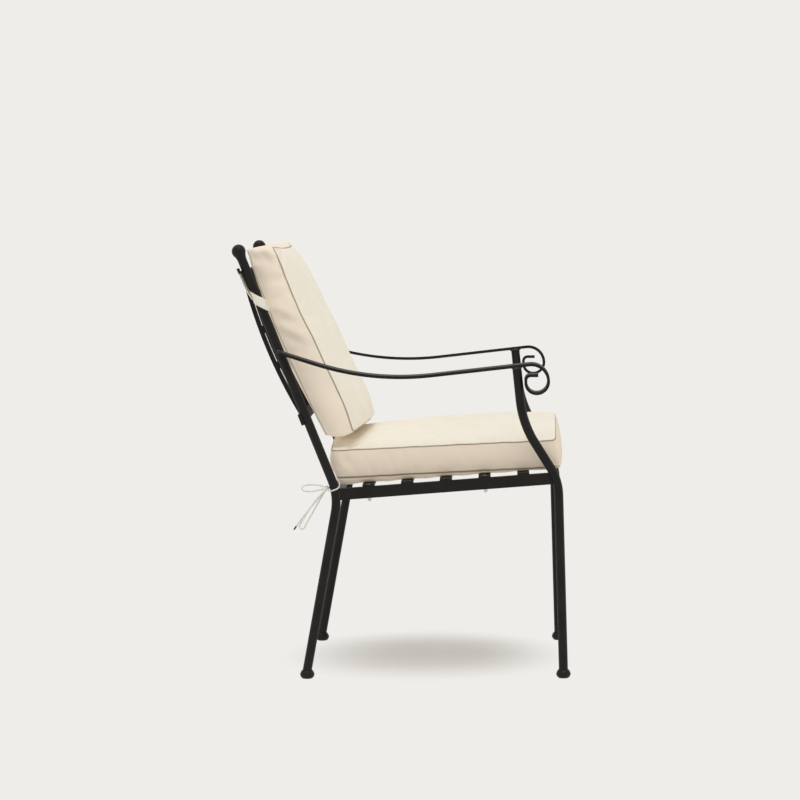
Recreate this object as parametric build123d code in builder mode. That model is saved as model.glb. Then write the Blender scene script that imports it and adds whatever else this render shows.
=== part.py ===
from build123d import *
import math
import os

# Carver chair: bent steel-tube frame, scrolled flat-bar arms and two tied-on cushions.
# The chair faces -Y, +X is the sitter's left, and the origin lies on the floor under its middle.
# Left-hand pieces are modelled and the right-hand ones are their mirror images.
# Only the seat ties differ: the right bow lies behind its post and the left one outside it.

# Overall sizes
chair_height = 912.0
chair_depth = 700.0
leg_spacing = 470.0  # between the tube axes, side to side

# Clearances
weld_gap = 0.1
spigot_clearance = 0.15
bolt_clearance = 0.2
fabric_gap = 0.3

# Frame tube
tube_diameter = 19.0
tube_wall = 2.0

# Bun feet and ball finials
foot_diameter = 30.5
foot_base_diameter = 21.0
foot_top_diameter = 22.0
foot_height = 17.0
foot_widest_height = 7.5
foot_bulge = 0.9  # how far the sides bow past straight lines
ball_diameter = 29.0
neck_flare_radius = 30.0  # between ball and neck
neck_land = 3.5  # straight run from the flare to the tube's end
spigot_length = 20.0

# Back posts
back_lean = 21.5  # degrees from upright
rear_leg_splay = 10.65  # degrees from upright
back_bend_height = 385.6
back_bend_radius = 125.0

# Front legs, which carry on upwards as arm posts
knee_height = 416.0
knee_setback = 8.85
knee_radius = 110.0
elbow_height = 538.0
elbow_setback = 73.9
elbow_radius = 225.0
arm_post_setback = 12.0
arm_spread = 596.0  # between the arms' middles

# Arms
arm_width = 22.0
arm_thickness = 6.0
arm_roll = 5.0  # degrees, outer edge down
arm_rise = 6.1  # degrees, up towards the front
arm_front_height = 660.0
arm_rear_height = 684.5
arm_dip_run = 198.1  # from the arm's rear end forward to the dip
arm_dip_radius = 626.0
arm_straight = 200.0  # from the arm post back to the inward curve
scroll_reach = 65.4  # from the arm post to the scroll's nose
scroll_nose_radius = 35.5
scroll_belly_radius = 24.5
scroll_heel_radius = 22.0
scroll_eye_radius = 9.5
scroll_rise = 6.0  # straight run between heel and eye
scroll_tail = 16.0

# Seat frame
seat_front_height = 432.7
seat_setback = 3.9
seat_slope = 4.04  # degrees, down to the rear
rail_thickness = 12.0
rail_depth = 24.0
slat_width = 25.0
slat_thickness = 5.0
slat_count = 5
slat_pitch = 81.0
first_slat = 69.0
bolted_slats = range(1, slat_count, 3)  # the second and the fifth
bolt_diameter = 5.0
bolt_head_diameter = 10.0
bolt_tip = 2.0  # past the nut
nut_width = 8.0
nut_height = 5.0

# Back frame, with drops measured down the posts from the ball's centre
back_rail_height = 24.0
back_top_rail_drop = 51.0
back_top_rail_thickness = 6.0
back_top_rail_set = 1.3  # front face ahead of the post axes
back_bottom_rail_height = 550.0  # floor to its middle
back_bottom_rail_thickness = 5.0
back_bottom_rail_overhang = 8.0
upright_count = 5
upright_spread = 418.0
upright_size = 9.0
upright_bow = 12.2
cross_bar_drops = {"upper": 170.0, "lower": 251.0}
cross_bar_height = 15.0
cross_bar_thickness = 4.0
cross_bar_overhang = 0.5

# Cushions
cover_thickness = 2.5
cushion_slices = 4  # between the ends
seat_cushion_side_gap = 8.5
seat_cushion_draw = 5.0  # how far the sides pull in at the middle
seat_cushion_front = 12.0  # ahead of the seat frame's front
seat_cushion_overhang = 9.0  # past the rear rail's middle
seat_seam_front = 2.4
seat_seam_rear = 14.8
seat_boxing_front = 57.5
seat_boxing_rear = 58.9
seat_crown_front = 33.0
seat_crown_middle = 44.0
seat_crown_rear = 20.0
seat_bottom_round = 9.0
back_cushion_side_gap = 19.5
back_cushion_draw = 2.0
back_cushion_top = 12.0
back_cushion_foot = 489.1  # floor to the cushion's foot, where the posts pass it
back_cushion_top_tilt = 20.0  # degrees, down to the front
back_cushion_foot_tilt = 4.4  # degrees, down to the front
back_tilt_reach = 106.0  # along the cushion, until a tilt fades out
back_seam_top = 14.7  # ahead of the top rail
back_seam_middle = 10.0
back_seam_bottom = 19.9
back_boxing_top = 50.0
back_boxing_middle = 61.0
back_boxing_bottom = 55.6
back_crown_top = 20.0
back_crown_middle = 46.0
back_crown_bottom = 41.0
back_rear_crown_top = 2.0
back_rear_crown_bottom = 6.0
boxing_bulge = 2.0
cushion_edge_round = 9.0
cushion_foot_round = 13.0

# Straps and ties
strap_thickness = 1.2
strap_width = 20.0
strap_slant = 49.5  # degrees
strap_drop = 94.0  # top edge at the post axis, below the ball's centre
strap_tail_lap = 10.3  # the tail's foot, below the strap's top edge
strap_tail_length = 72.0
strap_tail_lean = 4.8  # degrees away from the post
tie_diameter = 3.0
tie_height = 407.0
tie_tilt = 16.0  # degrees from square to the post, front higher
tie_lead_reach = 4.0  # cushion corner to the post axis
tie_lead_turn = 60.0  # degrees round the ring, from its inner side to the front
tie_corner_share = 0.45  # of the shorter run, taken by each corner's arc
knot_diameter = 11.0
swung_bow_shift = 0.6  # the left bow's knot, further from its post than the right one's
swung_bow_lift = 3.0  # above the right one
swung_bow_free = 10.0  # past the knot, before the left bow draws in
swung_bow_draw = 0.25  # share of its reach that it draws in

# Tie routes of a bow behind the left post: (x, y, z), chosen by hand
tie_knot_centre = (238.0, 157.6, 402.0)
tie_loop_route = (
    (238.6, 162.7, 404.4),
    (239.6, 170.8, 407.7),
    (241.4, 182.0, 409.4),
    (243.0, 194.4, 409.6),
    (243.8, 203.6, 408.5),
    (244.0, 208.8, 405.2),
    (243.9, 209.4, 399.8),
    (243.4, 205.0, 396.4),
    (242.2, 196.0, 395.4),
    (240.6, 183.6, 395.8),
    (239.2, 172.0, 398.2),
    (238.6, 163.1, 400.6),
)
tie_fold_route = (
    (241.6, 161.3, 397.8),
    (242.6, 175.6, 383.4),
    (243.8, 188.4, 366.0),
    (244.6, 199.4, 348.2),
    (245.0, 207.6, 333.8),
    (245.0, 211.6, 324.0),
    (244.6, 211.0, 317.6),
    (244.0, 206.2, 314.6),
    (243.4, 201.2, 318.0),
    (242.6, 195.6, 327.6),
    (241.6, 188.2, 341.2),
    (240.2, 179.6, 357.6),
    (238.8, 170.4, 376.8),
    (238.0, 160.4, 397.1),
)
tie_end_route = (
    (234.0, 160.4, 397.2),
    (234.2, 176.4, 379.8),
    (234.4, 193.8, 358.9),
    (234.8, 211.2, 337.2),
    (235.8, 227.1, 315.1),
)

# Places worked out from the sizes above
tube_radius = tube_diameter / 2
bore_radius = tube_radius - tube_wall
ball_radius = ball_diameter / 2
flare_start = math.sqrt((ball_radius + neck_flare_radius) ** 2 - (tube_radius + neck_flare_radius) ** 2)
neck_length = flare_start + neck_land
leg_x = leg_spacing / 2
arm_x = arm_spread / 2
ball_y = chair_depth / 2 - ball_radius
ball_z = chair_height - ball_radius
lean = math.radians(back_lean)
slope = math.radians(seat_slope)
roll = math.radians(arm_roll)
rise = math.radians(arm_rise)


def post_y(height):
    """Y of the back post's axis at a height above the bend."""
    return ball_y - (ball_z - height) * math.tan(lean)


back_plane = Plane(
    origin=(0, ball_y, ball_z),
    x_dir=(1, 0, 0),
    z_dir=(0, -math.cos(lean), math.sin(lean)),
)
post_side = Plane(
    origin=(leg_x, ball_y, ball_z), x_dir=back_plane.z_dir, z_dir=(-1, 0, 0)
)

# Axis of the left back post, from the floor up to the finial's neck
bend_y = post_y(back_bend_height)
rear_splay = math.radians(rear_leg_splay)
rear_floor_y = bend_y + back_bend_height * math.tan(rear_splay)
post_end = post_side.from_local_coords((0, -neck_length))
with BuildLine() as back_post_line:
    FilletPolyline(
        (leg_x, rear_floor_y, 0),
        (leg_x, bend_y, back_bend_height),
        post_end,
        radius=back_bend_radius,
    )

# Axis of the left front leg, from the floor up through the arm
front_foot_y = foot_diameter / 2 - chair_depth / 2
knee_y = front_foot_y + knee_setback
elbow_y = knee_y + elbow_setback
arm_post_y = elbow_y + arm_post_setback
flare = (arm_x - leg_x) / (arm_front_height - knee_height)
elbow_x = leg_x + flare * (elbow_height - knee_height)
rake = knee_setback / (knee_height - foot_height)
arm_post_foot = Vector(elbow_x, elbow_y, elbow_height)
arm_post_top = Vector(arm_x, arm_post_y, arm_front_height)
with BuildLine() as front_leg_line:
    FilletPolyline(
        (leg_x, front_foot_y - rake * foot_height, 0),
        (leg_x, knee_y, knee_height),
        arm_post_foot,
        arm_post_top + (arm_post_top - arm_post_foot).normalized() * arm_width,
        radius=(knee_radius, elbow_radius),
    )

# Planes of the left arm: its side outline and its plan, both rolled outwards
arm_side = Plane(
    origin=(arm_x, 0, arm_front_height),
    x_dir=(0, 1, 0),
    z_dir=(math.cos(roll), 0, -math.sin(roll)),
)
arm_plan = Plane(origin=arm_side.origin, x_dir=arm_side.z_dir, z_dir=arm_side.y_dir)
arm_underside = Plane(
    origin=arm_side.from_local_coords((arm_post_y, -(arm_thickness / 2 + weld_gap) / math.cos(rise))),
    z_dir=arm_side.x_dir * math.sin(rise) + arm_side.y_dir * math.cos(rise),
)

# Seat frame plane: local Y runs to the rear, and the slats lie on its top
seat_y = knee_y + seat_setback
seat_plane = Plane(
    origin=(0, seat_y, seat_front_height),
    x_dir=(1, 0, 0),
    z_dir=(0, math.sin(slope), math.cos(slope)),
)
half_bend = (lean + rear_splay) / 2
bend_inset = back_bend_radius * (1 / math.cos(half_bend) - 1)
rail_length = (bend_y + bend_inset - seat_y) / math.cos(slope)
slat_places = [first_slat + i * slat_pitch for i in range(slat_count)]


def tube_along(path, outer_radius, inner_radius=0.0):
    """Round tube, or solid rod, swept along a path."""
    with BuildPart() as tube:
        with BuildSketch(Plane(origin=path.line @ 0, z_dir=path.line % 0)):
            Circle(outer_radius)
            if inner_radius:
                Circle(inner_radius, mode=Mode.SUBTRACT)
        sweep(path=path.line)
    return tube.part


def export_piece(piece, name):
    """Label a finished piece and write it out."""
    piece.label = name
    export_step(piece, f"parts/{name}.step")


def export_mirrored(piece, name):
    """Write a left-hand piece's mirror image."""
    with BuildPart() as right:
        mirror(piece, about=Plane.YZ)
    export_piece(right.part, name)


def export_pair(piece, name):
    """Write a left-hand piece and its mirror image."""
    export_piece(piece, f"{name}_left")
    export_mirrored(piece, f"{name}_right")


os.makedirs("parts", exist_ok=True)

# Room that the welded bars leave round the tubes
envelope_radius = tube_radius + weld_gap
left_post_room = tube_along(back_post_line, envelope_radius)
left_leg_room = tube_along(front_leg_line, envelope_radius)
right_post_room = mirror(left_post_room, about=Plane.YZ)
right_leg_room = mirror(left_leg_room, about=Plane.YZ)

# Back posts
with BuildPart() as back_post:
    add(tube_along(back_post_line, tube_radius, bore_radius))
    split(bisect_by=Plane.XY.offset(foot_height), keep=Keep.TOP)
export_pair(back_post.part, "back_post")

# Front legs, cut off under the arms
with BuildPart() as front_leg:
    add(tube_along(front_leg_line, tube_radius, bore_radius))
    split(bisect_by=Plane.XY.offset(foot_height), keep=Keep.TOP)
    split(bisect_by=arm_underside, keep=Keep.BOTTOM)
export_pair(front_leg.part, "front_leg")

# Ball finials that flare into the post, with a spigot in its bore
spigot_radius = bore_radius - spigot_clearance
ball_share = ball_radius / (ball_radius + neck_flare_radius)
flare_end = (-(tube_radius + neck_flare_radius) * ball_share, -flare_start * ball_share)
with BuildPart() as finial:
    with BuildSketch(post_side):
        with BuildLine():
            Line((0, ball_radius), (0, -neck_length - spigot_length))
            Line((0, -neck_length - spigot_length), (-spigot_radius, -neck_length - spigot_length))
            Line((-spigot_radius, -neck_length - spigot_length), (-spigot_radius, -neck_length))
            Line((-spigot_radius, -neck_length), (-tube_radius, -neck_length))
            Line((-tube_radius, -neck_length), (-tube_radius, -flare_start))
            TangentArc((-tube_radius, -flare_start), flare_end, tangent=(0, 1))
            ThreePointArc(flare_end, (-ball_radius, 0), (0, ball_radius))
        make_face()
    revolve(axis=Axis(post_side.origin, post_side.y_dir))
export_pair(finial.part, "finial")


def bun_foot(path):
    """Bun foot under a leg, with a spigot up the leg's bore."""
    leg_start = path.line @ 0
    leg_direction = path.line % 0
    centre = leg_start + leg_direction * (foot_height / leg_direction.Z)
    base_radius = foot_base_diameter / 2
    top_radius = foot_top_diameter / 2
    belly_radius = foot_diameter / 2
    lower_bulge = (base_radius + belly_radius) / 2 + foot_bulge
    upper_bulge = (top_radius + belly_radius) / 2 + foot_bulge
    upper_middle = (foot_widest_height + foot_height) / 2
    with BuildPart() as foot:
        with BuildSketch(Plane(origin=(centre.X, centre.Y, 0), x_dir=(1, 0, 0), z_dir=(0, -1, 0))):
            with BuildLine():
                Line((0, foot_height), (0, 0))
                Line((0, 0), (base_radius, 0))
                ThreePointArc(
                    (base_radius, 0),
                    (lower_bulge, foot_widest_height / 2),
                    (belly_radius, foot_widest_height),
                )
                ThreePointArc(
                    (belly_radius, foot_widest_height),
                    (upper_bulge, upper_middle),
                    (top_radius, foot_height),
                )
                Line((top_radius, foot_height), (0, foot_height))
            make_face()
        revolve(axis=Axis((centre.X, centre.Y, 0), (0, 0, 1)))
        with BuildSketch(Plane(origin=centre - leg_direction * foot_widest_height, z_dir=leg_direction)):
            Circle(spigot_radius)
        extrude(amount=foot_widest_height + spigot_length)
    return foot.part


export_pair(bun_foot(front_leg_line), "foot_front")
export_pair(bun_foot(back_post_line), "foot_rear")

# Arms: the side outline with its scroll, cut to the plan's bowed strip
nose_turn = math.radians(90) + rise
nose_y = arm_post_y - scroll_reach
nose_z = scroll_reach * math.tan(rise)
belly_z = nose_z - scroll_nose_radius * math.tan(nose_turn / 2) - scroll_belly_radius - weld_gap
heel_y = nose_y + scroll_belly_radius + scroll_heel_radius + weld_gap
eye_z = belly_z + scroll_heel_radius + scroll_rise + scroll_eye_radius
arm_end_y = post_y(arm_rear_height)
arm_dip_y = arm_end_y - arm_dip_run
arm_end_x = leg_x + tube_radius + arm_width / 2 - arm_x
arm_reach = arm_x - leg_x + arm_width
with BuildPart() as arm:
    with BuildSketch(arm_side):
        with BuildLine():
            FilletPolyline(
                (arm_end_y, arm_rear_height - arm_front_height),
                (arm_dip_y, (arm_post_y - arm_dip_y) * math.tan(rise)),
                (nose_y, nose_z),
                (nose_y, belly_z),
                (heel_y, belly_z),
                (heel_y, eye_z),
                (heel_y - scroll_eye_radius - scroll_tail, eye_z),
                radius=(
                    arm_dip_radius,
                    scroll_nose_radius,
                    scroll_belly_radius,
                    scroll_heel_radius,
                    scroll_eye_radius,
                ),
            )
        trace(line_width=arm_thickness)
    extrude(amount=arm_reach, both=True)
    with BuildSketch(arm_plan):
        with BuildLine():
            Line((0, nose_y - arm_width), (0, arm_post_y + arm_straight))
            TangentArc(
                (0, arm_post_y + arm_straight),
                (arm_end_x, arm_end_y),
                tangent=(0, 1),
            )
        trace(line_width=arm_width)
    extrude(amount=arm_front_height / 2, both=True, mode=Mode.INTERSECT)
    add(left_post_room, mode=Mode.SUBTRACT)
export_pair(arm.part, "arm")

# Seat frame rails, coped to the tubes
bolt_rows = [slat_places[i] for i in bolted_slats]
with BuildPart() as side_rail:
    with BuildSketch(seat_plane):
        with Locations((leg_x, rail_length / 2)):
            Rectangle(rail_thickness, rail_length)
        with Locations(*[(leg_x, row) for row in bolt_rows]):
            Circle(bolt_diameter / 2 + bolt_clearance, mode=Mode.SUBTRACT)
    extrude(amount=-rail_depth)
    add(left_leg_room, mode=Mode.SUBTRACT)
    add(left_post_room, mode=Mode.SUBTRACT)
export_pair(side_rail.part, "side_rail")

for rail_name, rail_place, rooms in (
    ("front_rail", 0, (left_leg_room, right_leg_room)),
    ("rear_rail", rail_length, (left_post_room, right_post_room)),
):
    with BuildPart() as cross_rail:
        with BuildSketch(seat_plane):
            with Locations((0, rail_place)):
                Rectangle(leg_spacing - rail_thickness - 2 * weld_gap, rail_thickness)
        extrude(amount=-rail_depth)
        add(rooms, mode=Mode.SUBTRACT)
    export_piece(cross_rail.part, rail_name)

# Seat slats, flush with the rails' outer faces
slat_top = seat_plane.offset(slat_thickness)
for i, place in enumerate(slat_places):
    with BuildPart() as seat_slat:
        with BuildSketch(seat_plane):
            with Locations((0, place)):
                Rectangle(leg_spacing + rail_thickness, slat_width)
        extrude(amount=slat_thickness)
        if i in bolted_slats:
            with Locations(slat_top):
                with Locations((-leg_x, place), (leg_x, place)):
                    CounterSinkHole(
                        radius=bolt_diameter / 2 + bolt_clearance,
                        counter_sink_radius=bolt_head_diameter / 2 + bolt_clearance,
                        depth=slat_thickness,
                        counter_sink_angle=90,
                    )
    export_piece(seat_slat.part, f"seat_slat_{i + 1}")

# Countersunk bolts down through slats and rails, with nuts underneath
bolt_places = [(side * leg_x, row) for side in (-1, 1) for row in bolt_rows]
bolt_length = slat_thickness + rail_depth + nut_height + bolt_tip
with BuildPart() as seat_bolts:
    with Locations(slat_top):
        with Locations(*bolt_places):
            Cylinder(bolt_diameter / 2, bolt_length, align=(Align.CENTER, Align.CENTER, Align.MAX))
            Cone(
                bolt_diameter / 2,
                bolt_head_diameter / 2,
                (bolt_head_diameter - bolt_diameter) / 2,
                align=(Align.CENTER, Align.CENTER, Align.MAX),
            )
export_piece(seat_bolts.part, "seat_bolts")

with BuildPart() as seat_nuts:
    with BuildSketch(seat_plane.offset(-rail_depth)):
        with Locations(*bolt_places):
            RegularPolygon(nut_width / 2, 6, major_radius=False)
            Circle(bolt_diameter / 2 + weld_gap, mode=Mode.SUBTRACT)
    extrude(amount=-nut_height)
export_piece(seat_nuts.part, "seat_nuts")

# Back frame rails
back_bottom_rail_drop = (ball_z - back_bottom_rail_height) / math.cos(lean)
with BuildPart() as back_top_rail:
    with BuildSketch(back_plane.offset(back_top_rail_set)):
        with Locations((0, -back_top_rail_drop)):
            Rectangle(leg_spacing, back_rail_height)
    extrude(amount=-back_top_rail_thickness)
    add((left_post_room, right_post_room), mode=Mode.SUBTRACT)
export_piece(back_top_rail.part, "back_top_rail")

with BuildPart() as back_bottom_rail:
    with BuildSketch(back_plane.offset(-envelope_radius)):
        with Locations((0, -back_bottom_rail_drop)):
            Rectangle(leg_spacing + 2 * back_bottom_rail_overhang, back_rail_height)
    extrude(amount=-back_bottom_rail_thickness)
export_piece(back_bottom_rail.part, "back_bottom_rail")

# Bowed uprights: behind the top rail, and down to the bottom rail's top edge
upright_top = back_rail_height / 2 - back_top_rail_drop
upright_foot = back_rail_height / 2 - back_bottom_rail_drop + weld_gap
upright_middle = (upright_top + upright_foot) / 2
upright_face = back_top_rail_set - back_top_rail_thickness - weld_gap
half_chord = (upright_top - upright_foot) / 2
bow_radius = (half_chord**2 + upright_bow**2) / (2 * upright_bow)


def upright_front(height):
    """Forward place of the uprights' bowed front at a height on the back."""
    arc_drop = bow_radius - math.sqrt(bow_radius**2 - (height - upright_middle) ** 2)
    return upright_face - upright_bow + arc_drop


upright_step = upright_spread / (upright_count - 1)
for i in range(upright_count):
    upright_x = i * upright_step - upright_spread / 2
    upright_side = Plane(
        origin=(upright_x, ball_y, ball_z), x_dir=post_side.x_dir, z_dir=post_side.z_dir
    )
    with BuildPart() as back_upright:
        with BuildSketch(upright_side):
            with BuildLine():
                front = ThreePointArc(
                    (upright_face, upright_top),
                    (upright_face - upright_bow, upright_middle),
                    (upright_face, upright_foot),
                )
                rear = ThreePointArc(
                    (upright_face - upright_size, upright_top),
                    (upright_face - upright_bow - upright_size, upright_middle),
                    (upright_face - upright_size, upright_foot),
                )
                Line(front @ 0, rear @ 0)
                Line(front @ 1, rear @ 1)
            make_face()
        extrude(amount=upright_size / 2, both=True)
    export_piece(back_upright.part, f"back_upright_{i + 1}")

# Cross bars on the front of the uprights
bar_fronts = []
for bar_name, bar_drop in cross_bar_drops.items():
    bar_edges = (cross_bar_height / 2 - bar_drop, -cross_bar_height / 2 - bar_drop)
    bar_back = max(upright_front(edge) for edge in bar_edges) + weld_gap
    bar_fronts.append(bar_back + cross_bar_thickness)
    with BuildPart() as cross_bar:
        with BuildSketch(back_plane.offset(bar_back)):
            with Locations((0, -bar_drop)):
                Rectangle(upright_spread + upright_size + 2 * cross_bar_overhang, cross_bar_height)
        extrude(amount=cross_bar_thickness)
    export_piece(cross_bar.part, f"back_cross_bar_{bar_name}")


def through_three(first, middle, last, share):
    """Value at a share of the way along a parabola through its ends and middle."""
    bend = 4 * share * (1 - share)
    return first + (last - first) * share + (middle - (first + last) / 2) * bend


def slice_shares(first, last):
    """Shares of a cushion's length at its rounded ends and evenly between."""
    return [first, *[i / (cushion_slices + 1) for i in range(1, cushion_slices + 1)], 1 - last]


def lofted_cushion(sections):
    """Smooth cushion through its slices, with tucked-in ends."""
    with BuildPart() as cushion:
        loft(sections[1:-1])
        loft(sections[:2], ruled=True)
        loft(sections[-2:], ruled=True)
    return cushion.part


# Seat cushion: flat underneath, boxed at the sides and crowned on top
seat_cushion_length = seat_cushion_front + rail_length + seat_cushion_overhang
seat_half_width = leg_x - tube_radius - seat_cushion_side_gap - boxing_bulge
seat_rest = slat_thickness + fabric_gap


def seat_slice(share, tuck, inset):
    """Slice across the seat cushion, at a share of its length from the front."""
    length = seat_cushion_length - 2 * inset
    place = inset - seat_cushion_front + share * length
    half_width = through_three(seat_half_width, seat_half_width - seat_cushion_draw, seat_half_width, share)
    half_width = half_width - inset - tuck
    rest = seat_rest + inset + tuck
    seam = seat_rest + seat_seam_front + (seat_seam_rear - seat_seam_front) * share
    boxing = seat_boxing_front + (seat_boxing_rear - seat_boxing_front) * share
    lower = seam + inset + tuck
    upper = seam + boxing - inset - tuck
    crown = through_three(seat_crown_front, seat_crown_middle, seat_crown_rear, share)
    flat = half_width - seat_bottom_round
    middle = (lower + upper) / 2
    origin = seat_plane.from_local_coords((0, place, 0))
    with BuildSketch(Plane(origin=origin, x_dir=seat_plane.x_dir, z_dir=-seat_plane.y_dir)) as sketch:
        with BuildLine():
            Line((-flat, rest), (flat, rest))
            TangentArc((flat, rest), (half_width, lower), tangent=(1, 0))
            ThreePointArc((half_width, lower), (half_width + boxing_bulge, middle), (half_width, upper))
            ThreePointArc((half_width, upper), (0, upper + crown), (-half_width, upper))
            ThreePointArc((-half_width, upper), (-half_width - boxing_bulge, middle), (-half_width, lower))
            TangentArc((-flat, rest), (-half_width, lower), tangent=(-1, 0))
        make_face()
    return sketch.sketch


def seat_cushion_form(inset):
    """Seat cushion solid, smaller all round by an inset."""
    edge = cushion_edge_round / seat_cushion_length
    slices = [seat_slice(share, 0, inset) for share in slice_shares(edge, edge)]
    return lofted_cushion(
        [seat_slice(0, cushion_edge_round, inset), *slices, seat_slice(1, cushion_edge_round, inset)]
    )


# Back cushion: boxed at the sides, crowned in front, and resting on the cross bars behind
back_cushion_height = (ball_z - back_cushion_foot) / math.cos(lean) - back_cushion_top
back_half_width = leg_x - tube_radius - back_cushion_side_gap - boxing_bulge
back_rest = max(bar_fronts) + fabric_gap
back_seam_start = back_top_rail_set + back_seam_top
back_rear_crown_middle = back_seam_middle - back_rest


def back_slice(share, tuck, inset):
    """Slice across the back cushion, at a share of its height from the top."""
    height = back_cushion_height - 2 * inset
    place = -back_cushion_top - inset - share * height
    half_width = through_three(back_half_width, back_half_width - back_cushion_draw, back_half_width, share)
    half_width = half_width - inset - tuck
    seam = through_three(back_seam_start, back_seam_middle, back_seam_bottom, share)
    boxing = through_three(back_boxing_top, back_boxing_middle, back_boxing_bottom, share)
    lower = seam + inset + tuck
    upper = seam + boxing - inset - tuck
    crown = through_three(back_crown_top, back_crown_middle, back_crown_bottom, share)
    rear_crown = through_three(back_rear_crown_top, back_rear_crown_middle, back_rear_crown_bottom, share)
    middle = (lower + upper) / 2
    top_left = max(0.0, 1 - share * back_cushion_height / back_tilt_reach)
    foot_left = max(0.0, 1 - (1 - share) * back_cushion_height / back_tilt_reach)
    tilt = math.radians(back_cushion_top_tilt * top_left + back_cushion_foot_tilt * foot_left)
    origin = back_plane.from_local_coords((0, place, middle))
    facing = back_plane.y_dir * math.cos(tilt) + back_plane.z_dir * math.sin(tilt)
    forward = back_plane.z_dir * math.cos(tilt) - back_plane.y_dir * math.sin(tilt)
    half_boxing = (upper - lower) / 2
    slice_plane = Plane(origin=origin, x_dir=forward, z_dir=facing)
    with BuildSketch(slice_plane) as sketch:
        with BuildLine():
            ThreePointArc(
                (-half_boxing, -half_width), (-half_boxing - rear_crown, 0), (-half_boxing, half_width)
            )
            ThreePointArc((-half_boxing, half_width), (0, half_width + boxing_bulge), (half_boxing, half_width))
            ThreePointArc((half_boxing, half_width), (half_boxing + crown, 0), (half_boxing, -half_width))
            ThreePointArc(
                (half_boxing, -half_width), (0, -half_width - boxing_bulge), (-half_boxing, -half_width)
            )
        make_face()
    return sketch.sketch


def back_cushion_form(inset):
    """Back cushion solid, smaller all round by an inset."""
    top_edge = cushion_edge_round / back_cushion_height
    foot_edge = cushion_foot_round / back_cushion_height
    slices = [back_slice(share, 0, inset) for share in slice_shares(top_edge, foot_edge)]
    return lofted_cushion(
        [back_slice(0, cushion_edge_round, inset), *slices, back_slice(1, cushion_foot_round, inset)]
    )


for cushion_name, cushion_form in (
    ("seat_cushion", seat_cushion_form),
    ("back_cushion", back_cushion_form),
):
    outside = cushion_form(0)
    inside = cushion_form(cover_thickness)
    with BuildPart() as cover:
        add(outside)
        add(inside, mode=Mode.SUBTRACT)
    export_piece(cover.part, f"{cushion_name}_cover")
    export_piece(cushion_form(cover_thickness + fabric_gap), f"{cushion_name}_foam")

# Back straps: slanted round the post, sewn to the cushion's side, with a loose tail behind
sleeve_inner = tube_radius + fabric_gap
sleeve_outer = sleeve_inner + strap_thickness
slant = math.tan(math.radians(strap_slant))
strap_height = strap_width / math.cos(math.radians(strap_slant))
strap_reach = tube_diameter
tongue_top = -strap_drop - slant * sleeve_outer
tongue_end = back_half_width + boxing_bulge + fabric_gap
tail_foot = -strap_drop - strap_tail_lap
tail_slope = math.tan(math.radians(strap_tail_lean))
with BuildPart() as back_strap:
    with BuildSketch(Plane(origin=post_side.origin, z_dir=post_side.y_dir)):
        Circle(sleeve_outer)
        Circle(sleeve_inner, mode=Mode.SUBTRACT)
    extrude(amount=-strap_drop - strap_height - slant * strap_reach)
    with BuildSketch(post_side):
        with BuildLine():
            Polyline(
                (-strap_reach, -strap_drop + slant * strap_reach),
                (strap_reach, -strap_drop - slant * strap_reach),
                (strap_reach, -strap_drop - slant * strap_reach - strap_height),
                (-strap_reach, -strap_drop + slant * strap_reach - strap_height),
                close=True,
            )
        make_face()
    extrude(amount=strap_reach, both=True, mode=Mode.INTERSECT)
    with BuildSketch(back_plane.offset(sleeve_inner)):
        with Locations(((tongue_end + leg_x) / 2, tongue_top - strap_height / 2)):
            Rectangle(leg_x - tongue_end, strap_height)
    extrude(amount=strap_thickness)
    with BuildSketch(post_side):
        with BuildLine():
            Polyline(
                (-sleeve_inner, tail_foot),
                (-sleeve_outer, tail_foot),
                (-sleeve_outer - strap_tail_length * tail_slope, tail_foot + strap_tail_length),
                (-sleeve_inner - strap_tail_length * tail_slope, tail_foot + strap_tail_length),
                close=True,
            )
        make_face()
    extrude(amount=strap_width / 2, both=True)
export_pair(back_strap.part, "back_strap")


def cord_along(name, route):
    """Round tie cord along a route, with each corner as wide as its runs allow."""
    points = [Vector(*point) for point in route]
    runs = [b - a for a, b in zip(points, points[1:])]
    radii = []
    for first, second in zip(runs, runs[1:]):
        half_turn = math.radians(first.get_angle(second) / 2)
        radii.append(tie_corner_share * min(first.length, second.length) / math.tan(half_turn))
    print(name, "bend radii", [round(radius, 1) for radius in radii])
    with BuildLine() as cord_line:
        FilletPolyline(*points, radius=radii)
    return tube_along(cord_line, tie_diameter / 2)


# Seat ties: a cord ring round the post, its knot and lead, and the bow's loops and end
tie_radius = tie_diameter / 2
corner_angle = (lean - rear_splay) / 2
bend_centre = Vector(leg_x, bend_y, back_bend_height) + Vector(
    0, math.cos(corner_angle), -math.sin(corner_angle)
) * (back_bend_radius / math.cos(half_bend))
tie_lean = math.asin((tie_height - bend_centre.Z) / back_bend_radius)
tie_y = bend_centre.Y - back_bend_radius * math.cos(tie_lean)
ring_tilt = tie_lean + math.radians(tie_tilt)
ring_radius = (tube_radius + fabric_gap + tie_radius) / math.cos(math.radians(tie_tilt))
ring_plane = Plane(
    origin=(leg_x, tie_y, tie_height),
    x_dir=(1, 0, 0),
    z_dir=(0, math.sin(ring_tilt), math.cos(ring_tilt)),
)
lead_turn = math.radians(tie_lead_turn)
lead_start = ring_plane.from_local_coords(
    (-ring_radius * math.cos(lead_turn), -ring_radius * math.sin(lead_turn), 0)
)
lead_end = seat_plane.from_local_coords(
    (
        seat_half_width + boxing_bulge + fabric_gap + tie_radius,
        rail_length - tie_lead_reach,
        seat_rest + seat_seam_rear,
    )
)


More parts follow.
